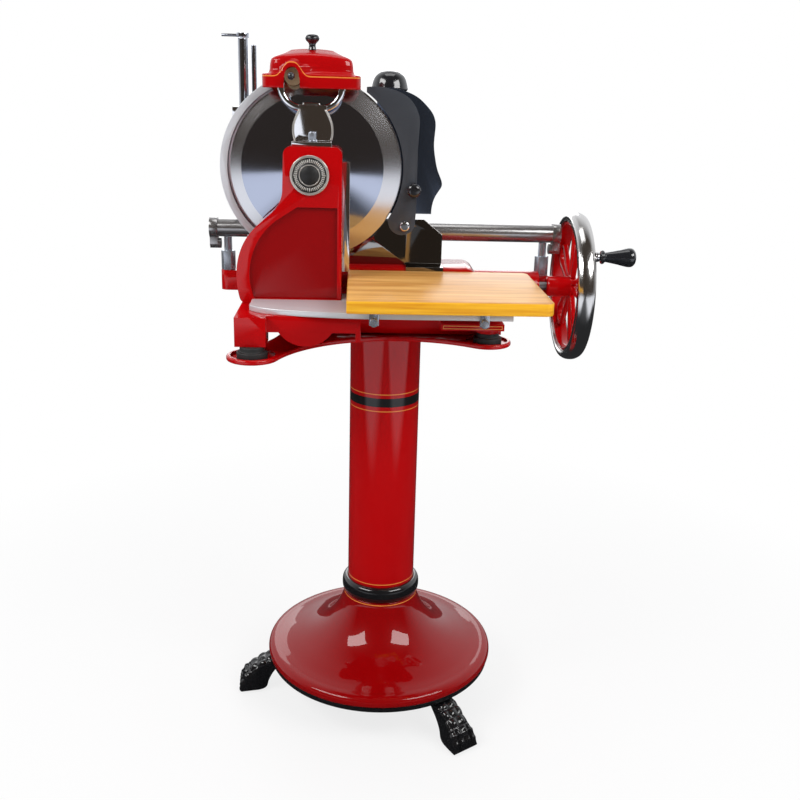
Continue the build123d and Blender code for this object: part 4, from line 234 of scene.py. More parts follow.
def finish(
    name, dull, bright, cells=5.0, stretch=(1, 1, 1), rough=(0.2, 0.3), metal=0.0, coat=0.0,
    dents=0.0, dent_cells=300.0, specular=0.5,
):
    """A finish whose colour wanders from `dull` to `bright`, and its roughness between the two
    of `rough`, with noise of `cells` to the metre stretched by `stretch`. `dents` is the depth
    in metres of a finer noise that shows as bumps."""
    paint = bpy.data.materials.new(name)
    paint.use_nodes = True
    nodes, links = paint.node_tree.nodes, paint.node_tree.links
    shader = nodes["Principled BSDF"]
    shader.inputs["Metallic"].default_value = metal
    shader.inputs["Coat Weight"].default_value = coat
    shader.inputs["Coat Roughness"].default_value = 0.03
    shader.inputs["Specular IOR Level"].default_value = specular
    place = nodes.new("ShaderNodeTexCoord")
    scale = nodes.new("ShaderNodeMapping")
    scale.inputs["Scale"].default_value = stretch
    noise = nodes.new("ShaderNodeTexNoise")
    noise.inputs["Scale"].default_value = cells
    noise.inputs["Detail"].default_value = 5
    colour = nodes.new("ShaderNodeMix")
    colour.data_type = "RGBA"
    colour.name = "colour"
    colour.inputs["A"].default_value = (*dull, 1)
    colour.inputs["B"].default_value = (*bright, 1)
    roughness = nodes.new("ShaderNodeMapRange")
    roughness.inputs["To Min"].default_value, roughness.inputs["To Max"].default_value = rough
    links.new(place.outputs["Object"], scale.inputs["Vector"])
    links.new(scale.outputs["Vector"], noise.inputs["Vector"])
    links.new(noise.outputs["Fac"], colour.inputs["Factor"])
    links.new(noise.outputs["Fac"], roughness.inputs["Value"])
    links.new(colour.outputs["Result"], shader.inputs["Base Color"])
    links.new(roughness.outputs["Result"], shader.inputs["Roughness"])
    if dents:
        fine = nodes.new("ShaderNodeTexNoise")
        fine.inputs["Scale"].default_value = dent_cells
        fine.inputs["Detail"].default_value = 3
        bump = nodes.new("ShaderNodeBump")
        bump.inputs["Strength"].default_value = 1.0
        bump.inputs["Distance"].default_value = dents
        links.new(scale.outputs["Vector"], fine.inputs["Vector"])
        links.new(fine.outputs["Fac"], bump.inputs["Height"])
        links.new(bump.outputs["Normal"], shader.inputs["Normal"])
    return paint


def fit(piece, paint, body, slot, *nodes):
    """Gives a finished piece its paint, the body that carries it and the solids it stands for."""
    piece.data.materials.clear()
    piece.data.materials.append(paint)
    if nodes:
        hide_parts(*nodes)
    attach(piece, body)
    return piece


def paw(angle):
    """One paw as a grid (s, t). At s the leg is an egg between its top line U(s) and under line
    L(s): (U+L)/2 + (U-L)/2 cos t, and w(s) sin t across, both squared off. Rows of curls are
    cos x cos humps on the top, and three grooves part the toes."""
    top, under = flowing(PAW_TOP_LINE, 14), flowing(PAW_UNDER_LINE, 14)
    wide = flowing([(w, 0) for w in PAW_HALF_WIDTHS], 14)[:, :1]
    s = np.linspace(0, 1, len(top))[:, None]
    t = np.linspace(0, 2 * np.pi, 112, endpoint=False)[None, :]
    up = np.sign(np.cos(t)) * np.abs(np.cos(t)) ** 0.55
    out = np.sign(np.sin(t)) * np.abs(np.sin(t)) ** 0.55
    face = np.clip(np.cos(t) * 3, 0, 1)
    step = lambda low, high: np.clip((s - low) / (high - low), 0, 1)
    curl_rows = step(0.26, 0.32) * (1 - step(0.66, 0.70))
    row = (s - 0.26) * 7.5
    shift = (np.floor(row) % 2) * 0.5
    curls = np.abs(np.sin(np.pi * row)) ** 0.6 * np.abs(np.sin(np.pi * (out * 1.25 + shift))) ** 0.6
    toes = step(0.66, 0.74)
    grooves = sum(np.exp(-(((out - g) / 0.09) ** 2)) for g in (-0.5, 0, 0.5))
    knuckles = np.exp(-(((s - 0.76) / 0.035) ** 2)) + 0.6 * np.exp(-(((s - 0.88) / 0.03) ** 2))
    grow = face * (
        4.4 * curl_rows * curls - 5.0 * toes * grooves + 3.0 * toes * knuckles * (1 - grooves) - 2.2
    )
    side = np.stack((top[:, 0], top[:, 1]), -1) - np.stack((under[:, 0], under[:, 1]), -1)
    side_way = side / np.linalg.norm(side, axis=1, keepdims=True)
    flat = (
        (top + under) / 2
    )[:, None] + side[:, None] / 2 * up[..., None] + side_way[:, None] * (grow * np.cos(t))[..., None]
    across = (wide + grow * np.abs(np.sin(t)) * 0.3) * out
    turn = np.radians(angle)
    reach, height = flat[..., 0], np.clip(flat[..., 1], 0, 72)
    grid = np.stack(
        (
            reach * np.cos(turn) - across * np.sin(turn),
            reach * np.sin(turn) + across * np.cos(turn), height,
        ),
        -1,
    )
    ends = grid[[0, -1]].mean(1, keepdims=True) + np.zeros_like(grid[[0, -1]])
    return np.concatenate((ends[:1], grid, ends[1:]))


black_enamel = finish(
    "black_enamel", (0.006, 0.006, 0.007), (0.010, 0.010, 0.011), 30, rough=(0.16, 0.26), coat=1.0,
    dents=0.00005, dent_cells=120, specular=0.2,
)
fit(
    skin("lion_paws", [paw(a) for a in PAW_ANGLES]), black_enamel, "pedestal_and_base", "paw_feet",
    "paw_feet",
)

# ------------------------------------------------------------------ base plate
# A black disc of cast iron that closes the bell from below. The paws hang from it and the
# long tie rod pulls it up against the column.
SIDES = 160


def eased(points, ease, steps=5):
    """A broken line with rounded corners: each corner P gives way to the curve
    (1-s)^2 A + 2 s (1-s) P + s^2 B, with A and B at most `ease` back and on along the line."""
    p = np.asarray(points, float)
    back, on = p[:-2] - p[1:-1], p[2:] - p[1:-1]
    far_back = np.linalg.norm(back, axis=1, keepdims=True)
    far_on = np.linalg.norm(on, axis=1, keepdims=True)
    a = p[1:-1] + back / far_back * np.minimum(ease, 0.48 * far_back)
    b = p[1:-1] + on / far_on * np.minimum(ease, 0.48 * far_on)
    s = np.linspace(0, 1, steps)[None, :, None]
    curve = (1 - s) ** 2 * a[:, None] + 2 * s * (1 - s) * p[1:-1, None] + s**2 * b[:, None]
    return np.vstack((p[:1], curve.reshape(-1, p.shape[1]), p[-1:]))


def turned(profile, middle=(0, 0, 0), axis=2, sides=SIDES):
    """A lathe shape as a grid: the profile's point (radius r, reach h) goes round the axis as
    (r cos a, r sin a, h), with h along the given axis."""
    r, h = np.asarray(profile, float).T
    a = np.linspace(0, 2 * np.pi, sides, endpoint=False)
    ring = np.stack(
        (np.outer(r, np.cos(a)), np.outer(r, np.sin(a)), np.outer(h, np.ones(sides))), -1,
    )
    return np.roll(ring, (axis + 1) % 3, axis=-1) + np.asarray(middle, float)


plate_profile = eased([(8.2, 72), (212, 72), (212, 83), (8.2, 83), (8.2, 72)], 3)
fit(
    skin("base_disc", [turned(plate_profile)]), black_enamel, "pedestal_and_base", "base_plate",
    "base_plate",
)

# ------------------------------------------------------------------ bell shaped dish
# Spun steel bell, stove enamelled in a deep red with a thin gold line round its neck. It sits
# on the base plate and rises in one sweep to the neck that holds the column.
DISH_RIM = (
    (212.5, 83), (214.2, 84.5), (215, 87), (215, 91.5), (213.8, 95.5), (210.5, 99), (204.5, 101.2),
    (195, 102.2),
)
DISH_SWEEP = (
    (195, 102.2), (178, 105.2), (160, 110.6), (140, 118.3), (121, 129), (105, 142), (91, 158.5),
    (81, 174), (74, 189), (70.3, 200), (69, 208),
)
red_dish = finish(
    "red_dish", (0.260, 0.000, 0.0008), (0.285, 0.0003, 0.0011), 4, rough=(0.3, 0.36), coat=0.8,
    specular=0.05,
)


def worked(paint, kind, *values):
    """One step of arithmetic in a material: each value is a number or another output."""
    step = paint.node_tree.nodes.new("ShaderNodeMath")
    step.operation = kind
    for slot, value in enumerate(values):
        if isinstance(value, (int, float)):
            step.inputs[slot].default_value = value
        else:
            paint.node_tree.links.new(value, step.inputs[slot])
    return step.outputs[0]


def parts_of(paint, kind, output):
    """The X, Y and Z of what one output of a node of this kind gives."""
    source = paint.node_tree.nodes.new(kind)
    split = paint.node_tree.nodes.new("ShaderNodeSeparateXYZ")
    paint.node_tree.links.new(source.outputs[output], split.inputs[0])
    return split.outputs


def laid_over(paint, layers):
    """Lays colours over a finish: each layer is its share, from 0 to 1, and its colour."""
    nodes, links = paint.node_tree.nodes, paint.node_tree.links
    under = nodes["colour"].outputs["Result"]
    for share, colour in layers:
        over = nodes.new("ShaderNodeMix")
        over.data_type = "RGBA"
        over.inputs["B"].default_value = (*colour, 1)
        links.new(share, over.inputs["Factor"])
        links.new(under, over.inputs["A"])
        under = over.outputs["Result"]
    links.new(under, nodes["Principled BSDF"].inputs["Base Color"])


def striped(paint, stripes):
    """Paints stripes round the vertical axis: (middle height, half its width, colour)."""
    height = parts_of(paint, "ShaderNodeTexCoord", "Object")["Z"]
    near = lambda z, half: worked(paint, "COMPARE", height, z / 1000, half / 1000)
    laid_over(paint, [(near(z, half), colour) for z, half, colour in stripes])


GOLD = (0.78, 0.24, 0.045)
striped(red_dish, [(204.5, 0.9, GOLD)])
dish_out = np.vstack((flowing(DISH_RIM, 5)[:-1], flowing(DISH_SWEEP, 8)))
dish_in = (dish_out[::-1] - (6.2, 6.5))[8:]
dish_in = dish_in[dish_in[:, 1] > 84]
dish_profile = np.vstack((dish_out, [(62.8, 208), (62.8, 195)], dish_in, [(207, 83), (212.5, 83)]))
fit(
    skin("dish", [turned(dish_profile)]), red_dish, "pedestal_and_base", "pedestal_dish",
    "pedestal_dish",
)

# ------------------------------------------------------------------ column and tie rod
# Red steel tube, with a black band between two gold lines near its top and one gold line
# above the collar. The steel tie rod runs down inside it and holds the whole pedestal together.
BLACK_BAND = (0.012, 0.012, 0.013)
red_column = finish(
    "red_column", (0.46, 0.000, 0.0012), (0.50, 0.0004, 0.0016), 4, rough=(0.3, 0.36), coat=0.8,
    specular=0.05,
)
striped(red_column, [(600, 8, BLACK_BAND), (615, 0.9, GOLD), (584, 0.9, GOLD), (244, 0.9, GOLD)])
tube_profile = eased(
    [(58.5, 194.2), (62.5, 194.2), (62.5, 715.9), (58.5, 715.9), (58.5, 194.2)], 0.6,
)
fit(
    skin("column_tube", [turned(tube_profile)]), red_column, "pedestal_and_base", "pedestal_column",
    "pedestal_column",
)


def repaint(paint, *nodes):
    """Gives CAD nodes that keep their own mesh a finish."""
    for node in nodes:
        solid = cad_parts[node]
        solid.data.materials.clear()
        solid.data.materials.append(paint)


machined_steel = finish(
    "machined_steel", (0.40, 0.41, 0.43), (0.52, 0.52, 0.54), 60, rough=(0.28, 0.42), metal=1.0,
    dents=0.00003, dent_cells=900,
)
repaint(machined_steel, "tie_rod")

# ------------------------------------------------------------------ collar ring
# A half round moulding of cast iron, enamelled black, dropped over the column to hide the
# joint with the bell's neck.
a = np.linspace(-np.pi / 2, np.pi / 2, 33)
collar_out = np.stack(
    (62.7 + 10.2 * np.cos(a) ** 0.75, 223 + 15 * np.sign(np.sin(a)) * np.abs(np.sin(a)) ** 0.8), -1,
)
collar_profile = np.vstack((collar_out, [(62.7, 223), collar_out[0]]))
fit(
    skin("collar", [turned(collar_profile)]), black_enamel, "pedestal_and_base", "collar_ring",
    "collar_ring",
)

# ------------------------------------------------------------------ top plate
# Four-lobed casting bolted on the column. Each lobe is recessed to hold one of the slicer's
# rubber feet, and its edges are rounded over under thick red enamel.


def rounded_cast(node, name, ease, sharp=32, segments=3):
    """A casting's own surface with its edges rounded by `ease` millimetres: the solid's loose
    triangles are merged, flat ones joined, and a bevel laid on edges sharper than `sharp`."""
    shell = bmesh.new()
    shell.from_mesh(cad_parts[node].data)
    bmesh.ops.remove_doubles(shell, verts=shell.verts, dist=2e-5)
    bmesh.ops.dissolve_limit(
        shell, angle_limit=np.radians(0.6), verts=shell.verts, edges=shell.edges,
    )
    mesh = bpy.data.meshes.new(name)
    shell.to_mesh(mesh)
    shell.free()
    mesh.shade_smooth()
    piece = bpy.data.objects.new(name, mesh)
    bpy.context.scene.collection.objects.link(piece)
    bevel = piece.modifiers.new("rounded_edges", "BEVEL")
    bevel.width = ease / 1000
    bevel.segments = segments
    bevel.limit_method = "ANGLE"
    bevel.angle_limit = np.radians(sharp)
    bevel.harden_normals = True
    bevel.use_clamp_overlap = True
    bevel.miter_outer = "MITER_ARC"
    return piece


def cast_piece(node, name, ease, paint, body="pedestal_and_base", **how):
    """A rounded casting that stands for the node it was made from."""
    return fit(rounded_cast(node, name, ease, **how), paint, body, node, node)


red_cast = finish(
    "red_cast", (0.44, 0.000, 0.0012), (0.48, 0.0004, 0.0016), 5, rough=(0.3, 0.38), coat=0.8,
    dents=0.00006, dent_cells=70, specular=0.05,
)
cast_piece("top_plate", "lobed_plate", 1.2, red_cast)

# ------------------------------------------------------------------ rubber feet
# Four turned rubber feet in two tiers, screwed into the slicer's base. They stand in the
# recesses of the top plate.
FOOT_PLACES = ((-214, -215), (168, -98), (168, 110), (-200, 130))
rubber = finish(
    "rubber", (0.012, 0.012, 0.012), (0.022, 0.022, 0.022), 80, rough=(0.5, 0.65), dents=0.0001,
    dent_cells=900,
)
foot_profile = eased([(0, 720), (24, 720), (24, 732), (19, 732), (19, 740), (0, 740)], 2)
feet = [turned(foot_profile, (x, y, 0), sides=64) for x, y in FOOT_PLACES]
fit(skin("feet", feet), rubber, "pedestal_and_base", "rubber_feet", "rubber_feet")

# ------------------------------------------------------------------ base casting
# The slicer's hollow iron base: wing, gear box, deck, shaft tunnel and the horns that carry
# the rail, all one casting under glossy red enamel.
cast_piece("slicer_base", "base_casting", 2.4, red_cast)

gilt_line = finish(
    "gilt_line", (0.72, 0.22, 0.04), (0.80, 0.27, 0.06), 30, rough=(0.35, 0.45), coat=0.5,
)
PAD_LEFT, PAD_RIGHT, PAD_LOW, PAD_HIGH, PAD_Y = 90, 189, 749.6, 755.6, -124.1
pad_corners = [
    (PAD_LEFT, PAD_LOW), (PAD_RIGHT, PAD_LOW), (PAD_RIGHT, PAD_HIGH), (PAD_LEFT, PAD_HIGH),
]
pad_line = eased(pad_corners + pad_corners[:1], 1.2)
stroke = np.stack((pad_line[:, 0], np.full(len(pad_line), PAD_Y), pad_line[:, 1]), -1)
middle = np.array(((PAD_LEFT + PAD_RIGHT) / 2, PAD_Y, (PAD_LOW + PAD_HIGH) / 2))
shrink = 1 - 1.3 / np.maximum(
    np.abs(stroke - middle), 1.3,
) * (0, 0, 1) - 1.3 / 50 * np.array((1, 0, 0))
pad_rings = [
    stroke, stroke + (0, -0.45, 0), middle + (stroke - middle) * shrink + (0, -0.45, 0),
    middle + (stroke - middle) * shrink,
]
fit(
    skin("pad_outline", [np.stack(pad_rings + pad_rings[:1])[:, :-1]]), gilt_line,
    "pedestal_and_base", "slicer_base",
)

# ------------------------------------------------------------------ receiving tray
# A polished aluminium casting with a rolled front edge that slices fall on. Two ribs on it
# carry the board.
aluminium = finish(
    "aluminium", (0.70, 0.71, 0.74), (0.78, 0.79, 0.81), 8, rough=(0.28, 0.36), metal=0.45,
    dents=0.00003, dent_cells=60,
)
cast_piece("receiving_tray", "tray", 2.6, aluminium)

# ------------------------------------------------------------------ wooden board
# Serving board glued up from oiled staves whose grain runs from left to right. Its edges are
# eased and its corners at the right end are rounded.


def oiled_wood(name):
    """Wood along X: fine fibres and broad rings are noise stretched twenty and nine times
    along the stave, its tint steps from stave to stave, and front and ends are more golden."""
    paint = bpy.data.materials.new(name)
    paint.use_nodes = True
    nodes, links = paint.node_tree.nodes, paint.node_tree.links
    shader = nodes["Principled BSDF"]
    shader.inputs["Coat Weight"].default_value = 0.12
    shader.inputs["Coat Roughness"].default_value = 0.25
    shader.inputs["Specular IOR Level"].default_value = 0.25
    place = nodes.new("ShaderNodeTexCoord")

    def noise(stretch, cells, detail):
        scale = nodes.new("ShaderNodeMapping")
        scale.inputs["Scale"].default_value = stretch
        grain = nodes.new("ShaderNodeTexNoise")
        grain.inputs["Scale"].default_value = cells
        grain.inputs["Detail"].default_value = detail
        links.new(place.outputs["Object"], scale.inputs["Vector"])
        links.new(scale.outputs["Vector"], grain.inputs["Vector"])
        return grain.outputs["Fac"]

    def ramp(value, low, high, first, last):
        band = nodes.new("ShaderNodeValToRGB")
        band.color_ramp.elements[0].position, band.color_ramp.elements[0].color = low, (*first, 1)
        band.color_ramp.elements[1].position, band.color_ramp.elements[1].color = high, (*last, 1)
        links.new(value, band.inputs["Fac"])
        return band.outputs["Color"]

    def mix(share, under, over, kind="MIX"):
        layer = nodes.new("ShaderNodeMix")
        layer.data_type, layer.blend_type = "RGBA", kind
        if isinstance(share, float):
            layer.inputs["Factor"].default_value = share
        else:
            links.new(share, layer.inputs["Factor"])
        links.new(under, layer.inputs["A"])
        links.new(over, layer.inputs["B"])
        return layer.outputs["Result"]

    rings = ramp(noise((1, 9, 9), 6, 4), 0.36, 0.66, (0.66, 0.315, 0.075), (0.90, 0.52, 0.17))
    fibres = ramp(noise((1, 26, 26), 16, 6), 0.35, 0.62, (0.80, 0.72, 0.60), (1, 1, 1))
    staves = ramp(noise((0.0, 1, 0.0), 17, 0), 0.42, 0.55, (0.94, 0.90, 0.84), (1, 1, 1))
    wood = mix(1.0, mix(0.75, rings, fibres, "MULTIPLY"), staves, "MULTIPLY")
    front = nodes.new("ShaderNodeNewGeometry")
    facing = nodes.new("ShaderNodeSeparateXYZ")
    links.new(front.outputs["True Normal"], facing.inputs[0])
    flank = nodes.new("ShaderNodeMapRange")
    flank.inputs["From Min"].default_value, flank.inputs["From Max"].default_value = 0.75, 0.35
    links.new(facing.outputs["Z"], flank.inputs["Value"])
    golden = ramp(noise((1, 9, 30), 9, 4), 0.35, 0.65, (0.80, 0.33, 0.010), (0.98, 0.52, 0.025))
    links.new(mix(flank.outputs["Result"], wood, golden), shader.inputs["Base Color"])
    gloss = nodes.new("ShaderNodeMapRange")
    gloss.inputs["To Min"].default_value, gloss.inputs["To Max"].default_value = 0.28, 0.46
    fine = noise((1, 26, 26), 16, 6)
    links.new(fine, gloss.inputs["Value"])
    links.new(gloss.outputs["Result"], shader.inputs["Roughness"])
    bump = nodes.new("ShaderNodeBump")
    bump.inputs["Distance"].default_value = 0.00012
    links.new(fine, bump.inputs["Height"])
    links.new(bump.outputs["Normal"], shader.inputs["Normal"])
    return paint


board_wood = oiled_wood("board_wood")
cast_piece("wood_board", "serving_board", 2.2, board_wood)

# ------------------------------------------------------------------ board clips and screws
# Bent strips of chromed steel that hold the board down over the tray's front edge, each with
# one round-headed screw, and the slotted screws of the neck.
chrome = finish("chrome", (0.80, 0.80, 0.82), (0.88, 0.88, 0.90), 9, rough=(0.05, 0.10), metal=1.0)
nickel_plate = finish(
    "nickel_plate", (0.46, 0.50, 0.57), (0.54, 0.58, 0.64), 12, rough=(0.22, 0.3), metal=0.8,
)
cast_piece("board_clips", "clips", 0.8, nickel_plate)
cast_piece("machine_screws", "screws", 1.8, nickel_plate, segments=5)

# ------------------------------------------------------------------ blade column
# Hollow casting in front of the blade's hub. Its face is sunk inside a raised curved border,
# with a darker red painted on it as the shade of the recess, and the block on top holds the round
# badge.
red_panel = finish(
    "red_panel", (0.44, 0.000, 0.0012), (0.48, 0.0004, 0.0016), 5, rough=(0.3, 0.38), coat=0.8,
    dents=0.00006, dent_cells=70, specular=0.05,
)
# Painted shade: the front faces at the depth of the recess floor are painted a darker red.
PANEL_Y, PANEL_DEPTH, PANEL_PAINTED_SHADE = -0.113, 0.0012, (0.27, 0.0, 0.0006)
in_depth = parts_of(red_panel, "ShaderNodeTexCoord", "Object")["Y"]
facing = parts_of(red_panel, "ShaderNodeNewGeometry", "True Normal")["Y"]
sunk = worked(red_panel, "COMPARE", in_depth, PANEL_Y, PANEL_DEPTH)
flat = worked(red_panel, "LESS_THAN", facing, -0.8)
laid_over(red_panel, [(worked(red_panel, "MULTIPLY", sunk, flat), PANEL_PAINTED_SHADE)])
cast_piece("blade_column", "column_casting", 3.6, red_panel, segments=4)
repaint(red_cast, "column_back_plate")

# ------------------------------------------------------------------ badge
# A round plate on the column's block: a nickelled border and inner ring, a black face, and a
# circle of fine raised ticks. Its middle is plain.
BADGE_X, BADGE_Z, BADGE_FACE = -129, 992, -122
nickel = finish("nickel", (0.58, 0.55, 0.51), (0.72, 0.69, 0.64), 24, rough=(0.2, 0.3), metal=0.7)
engraved_black = finish(
    "engraved_black", (0.010, 0.010, 0.010), (0.02, 0.02, 0.02), 40, rough=(0.4, 0.5),
)
rim_line = eased(
    [(27, 1.6), (27, 0.2), (28.2, 0), (30.2, 0.2), (31, 1.2), (31, 4), (27, 4), (27, 1.6)], 0.4,
)
ring_line = eased([(15.2, 1.6), (15.2, 0.6), (16.8, 0.6), (16.8, 1.6), (15.2, 1.6)], 0.3)
badge_place = (BADGE_X, BADGE_FACE, BADGE_Z)
badge_rings = [turned(line, badge_place, axis=1, sides=96) for line in (rim_line, ring_line)]
fit(skin("badge_border", badge_rings), nickel, "pedestal_and_base", "column_badge", "column_badge")
face_line = [(0, 1.2), (27.4, 1.2), (27.4, 3.6), (0, 3.6)]
fit(
    skin("badge_face", [turned(face_line, badge_place, axis=1, sides=96)]), engraved_black,
    "pedestal_and_base", "column_badge",
)


def tick(angle, near, far, wide):
    """A raised bar on the badge's face, from reach `near` to `far` along the angle, as a grid
    of four corners carried from its foot to its face."""
    turn = np.radians(angle)
    away, aside = np.array((np.cos(turn), 0, np.sin(turn))), np.array(
        (-np.sin(turn), 0, np.cos(turn))
    )
    flat = np.array(
        [
            away * near - aside * wide, away * far - aside * wide, away * far + aside * wide,
            away * near + aside * wide,
        ]
    )
    depth = np.array((1.4, 0.9, 0.9))[:, None, None] * (0, 1, 0)
    grid = flat[None] + depth + (BADGE_X, BADGE_FACE, BADGE_Z)
    grid[-1] = grid[-1].mean(0)
    return grid


ticks = [tick(7.5 * n, 19.5, 24.5 if n % 4 else 25.5, 0.5) for n in range(48)]
pale_tin = finish(
    "pale_tin", (0.72, 0.69, 0.64), (0.82, 0.79, 0.74), 24, rough=(0.3, 0.4), metal=0.2,
)
fit(skin("badge_ticks", ticks), pale_tin, "pedestal_and_base", "column_badge")

# ------------------------------------------------------------------ slice deflector
# A narrow strip of polished steel down the column's right side that parts the slice from the
# blade.
cast_piece("slice_deflector", "deflector", 0.5, chrome)

# ------------------------------------------------------------------ mirror plate
# Polished steel plate that stands behind the board on the deck's front edge and mirrors it.
dark_steel = finish(
    "dark_steel", (0.060, 0.066, 0.078), (0.085, 0.094, 0.110), 7, rough=(0.26, 0.36), metal=0.35,
)
mirror_steel = finish(
    "mirror_steel", (0.30, 0.29, 0.28), (0.36, 0.35, 0.34), 7, rough=(0.05, 0.09), metal=1.0,
)
cast_piece("mirror_plate", "splash_plate", 0.5, mirror_steel)

# ------------------------------------------------------------------ guard ring
# Cast aluminium guard round the blade's left edge, polished on its face, standing on a strut
# that is cast with it.
cast_piece("guard_ring", "guard", 0.8, aluminium)

# ------------------------------------------------------------------ bearings, studs and gear train
# Ball bearings, studs, hobbed steel gears and shafts, all inside the column and the base and
# only seen through the openings.
gear_steel = finish(
    "gear_steel", (0.30, 0.30, 0.31), (0.42, 0.42, 0.43), 50, rough=(0.3, 0.45), metal=1.0,
)
repaint(
    gear_steel, "ball_bearings", "fixed_studs", "driver_gear", "idler_gear_lower",
    "idler_gear_upper", "blade_gear", "flywheel_bevel", "cross_bevel", "cross_shaft",
)

# ------------------------------------------------------------------ crank disc and lever
# A steel disc with an offset pin behind the gear box, and the slotted lever that it swings to
# drive the carriage.
cast_piece("crank_disc", "crank_plate", 0.8, machined_steel, "cross")
cast_piece("drive_lever", "slotted_lever", 1.0, machined_steel, "lever")

# ------------------------------------------------------------------ blade and its clamp
# Hollow-ground dished blade of chromed steel, mirror bright within and satin on the ground
# bevel round its edge, held on its flanged shaft by a clamp plate.
BLADE_X, BLADE_Z = -129, 995
blade_mirror = finish(
    "blade_mirror", (0.42, 0.46, 0.57), (0.50, 0.54, 0.66), 4, rough=(0.07, 0.10), metal=1.0,
)
nodes, links = blade_mirror.node_tree.nodes, blade_mirror.node_tree.links
place = nodes.new("ShaderNodeTexCoord")
flat = nodes.new("ShaderNodeVectorMath")
flat.operation = "MULTIPLY"
flat.inputs[1].default_value = (1, 0, 1)
reach = nodes.new("ShaderNodeVectorMath")
reach.operation = "DISTANCE"
reach.inputs[1].default_value = (BLADE_X / 1000, 0, BLADE_Z / 1000)
zone = nodes.new("ShaderNodeMapRange")
zone.inputs["From Min"].default_value, zone.inputs["From Max"].default_value = 0.1185, 0.1195
ground = nodes.new("ShaderNodeMix")
ground.data_type = "RGBA"
ground.inputs["B"].default_value = (0.70, 0.70, 0.72, 1)
dulled = nodes.new("ShaderNodeMapRange")
dulled.inputs["To Min"].default_value, dulled.inputs["To Max"].default_value = 0.09, 0.20
links.new(place.outputs["Object"], flat.inputs[0])
links.new(flat.outputs["Vector"], reach.inputs[0])
links.new(reach.outputs["Value"], zone.inputs["Value"])
links.new(zone.outputs["Result"], ground.inputs["Factor"])
links.new(zone.outputs["Result"], dulled.inputs["Value"])
links.new(nodes["colour"].outputs["Result"], ground.inputs["A"])
links.new(ground.outputs["Result"], nodes["Principled BSDF"].inputs["Base Color"])
links.new(dulled.outputs["Result"], nodes["Principled BSDF"].inputs["Roughness"])
blade_profile = np.vstack((
    [(7.7, -18), (34, -18)],
    flowing([(34, -18), (60, -15.2), (90, -11.6), (119, -7.9)], 8),
    [
        (119, -7.9), (135, -4.1), (149.6, -0.4), (150, -0.2), (150, 0), (136, -0.5), (36, -14),
        (7.7, -14), (7.7, -18),
    ],
))
blade = skin("blade_disc", [turned(blade_profile, (BLADE_X, 0, BLADE_Z), axis=1, sides=240)])
blade.data.set_sharp_from_angle(angle=np.radians(3))
fit(blade, blade_mirror, "blade_group", "blade", "blade")
repaint(machined_steel, "blade_shaft", "blade_clamp_plate")

# ------------------------------------------------------------------ gauge plate, stud and knob
# Ground steel plate that the product slides against, set back by the gauge knob. A round-headed
# stud guides its foot.
cast_piece("gauge_plate", "gauge", 0.6, dark_steel, "gauge")
cast_piece("gauge_stud", "gauge_guide", 0.8, chrome, "gauge")
black_gloss = finish(
    "black_gloss", (0.010, 0.011, 0.013), (0.016, 0.017, 0.02), 20, rough=(0.12, 0.2), coat=0.8,
)
GAUGE_KNOB = (42, -7, 962)
knob_profile = eased(
    [(0, -14.5), (8, -14.5), (12, -11), (12, -1.2), (10.5, -0.4), (3, -0.4), (3, 6), (0, 6)], 2.2,
)
gauge_knob = skin("gauge_turn", [turned(knob_profile, GAUGE_KNOB, axis=1, sides=64)])
fit(gauge_knob, black_gloss, "gauge_setting_knob", "gauge_knob", "gauge_knob")

# ------------------------------------------------------------------ neck bracket and yoke
# Forged and chromed: the bracket bolts to the column's top and the yoke on it guides the
# sharpener's cover up and down.


def swept(line, across, wide, thick, closed=False, corners=16, power=0.6):
    """A bar as a grid: at each point of the line a squared-off ring
    wide/2 |cos t|^power across and thick/2 |sin t|^power aside, where aside is
    the line's own way crossed with `across`. An open bar's ends are drawn to a point."""
    line = np.asarray(line, float)
    if closed:
        ahead = np.roll(line, -1, 0) - np.roll(line, 1, 0)
    else:
        ahead = np.gradient(line, axis=0)
    aside = np.cross(ahead, across)
    aside /= np.linalg.norm(aside, axis=1, keepdims=True)
    t = np.linspace(0, 2 * np.pi, corners, endpoint=False)
    u = np.sign(np.cos(t)) * np.abs(np.cos(t)) ** power * wide / 2
    v = np.sign(np.sin(t)) * np.abs(np.sin(t)) ** power * thick / 2
    grid = line[:, None] + np.asarray(across, float) * u[None, :, None] + aside[:, None] * v[
        None, :, None,
    ]
    if closed:
        return np.concatenate((grid, grid[:1]))
    ends = line[[0, -1], None] + np.zeros((2, corners, 3))
    return np.concatenate((ends[:1], grid, ends[1:]))


cast_piece("neck_bracket", "neck", 1.4, chrome)
NECK_LINE = (
    (-156, -53.5, 1043), (-158, -53.5, 1054), (-157, -53.5, 1068), (-151, -53.5, 1083),
    (-147, -53.5, 1090),
)
neck_left = flowing(NECK_LINE, 6)
neck_right = neck_left * (-1, 1, 1) + (-253, 0, 0)
frame_bars = [swept(line, (0, 1, 0), 2.2, 3.4, corners=12) for line in (neck_left, neck_right)]
fit(skin("neck_border", frame_bars), nickel, "pedestal_and_base", "neck_bracket")
YOKE_LINE = ((-48, 1131), (-48.5, 1121), (-46, 1111), (-39, 1101), (-27, 1093.5), (-12, 1090.5))
yoke_left = flowing([(BLADE_X + x, -43, z) for x, z in YOKE_LINE], 8)
yoke_line = np.vstack((yoke_left, yoke_left[::-1] * (-1, 1, 1) + (2 * BLADE_X, 0, 0)))
yoke_bar = swept(yoke_line, (0, 1, 0), 9.6, 11, corners=24, power=0.75)
block_side = eased([(-14, 1085), (14, 1085), (14, 1100), (-14, 1100), (-14, 1085)], 2.5)
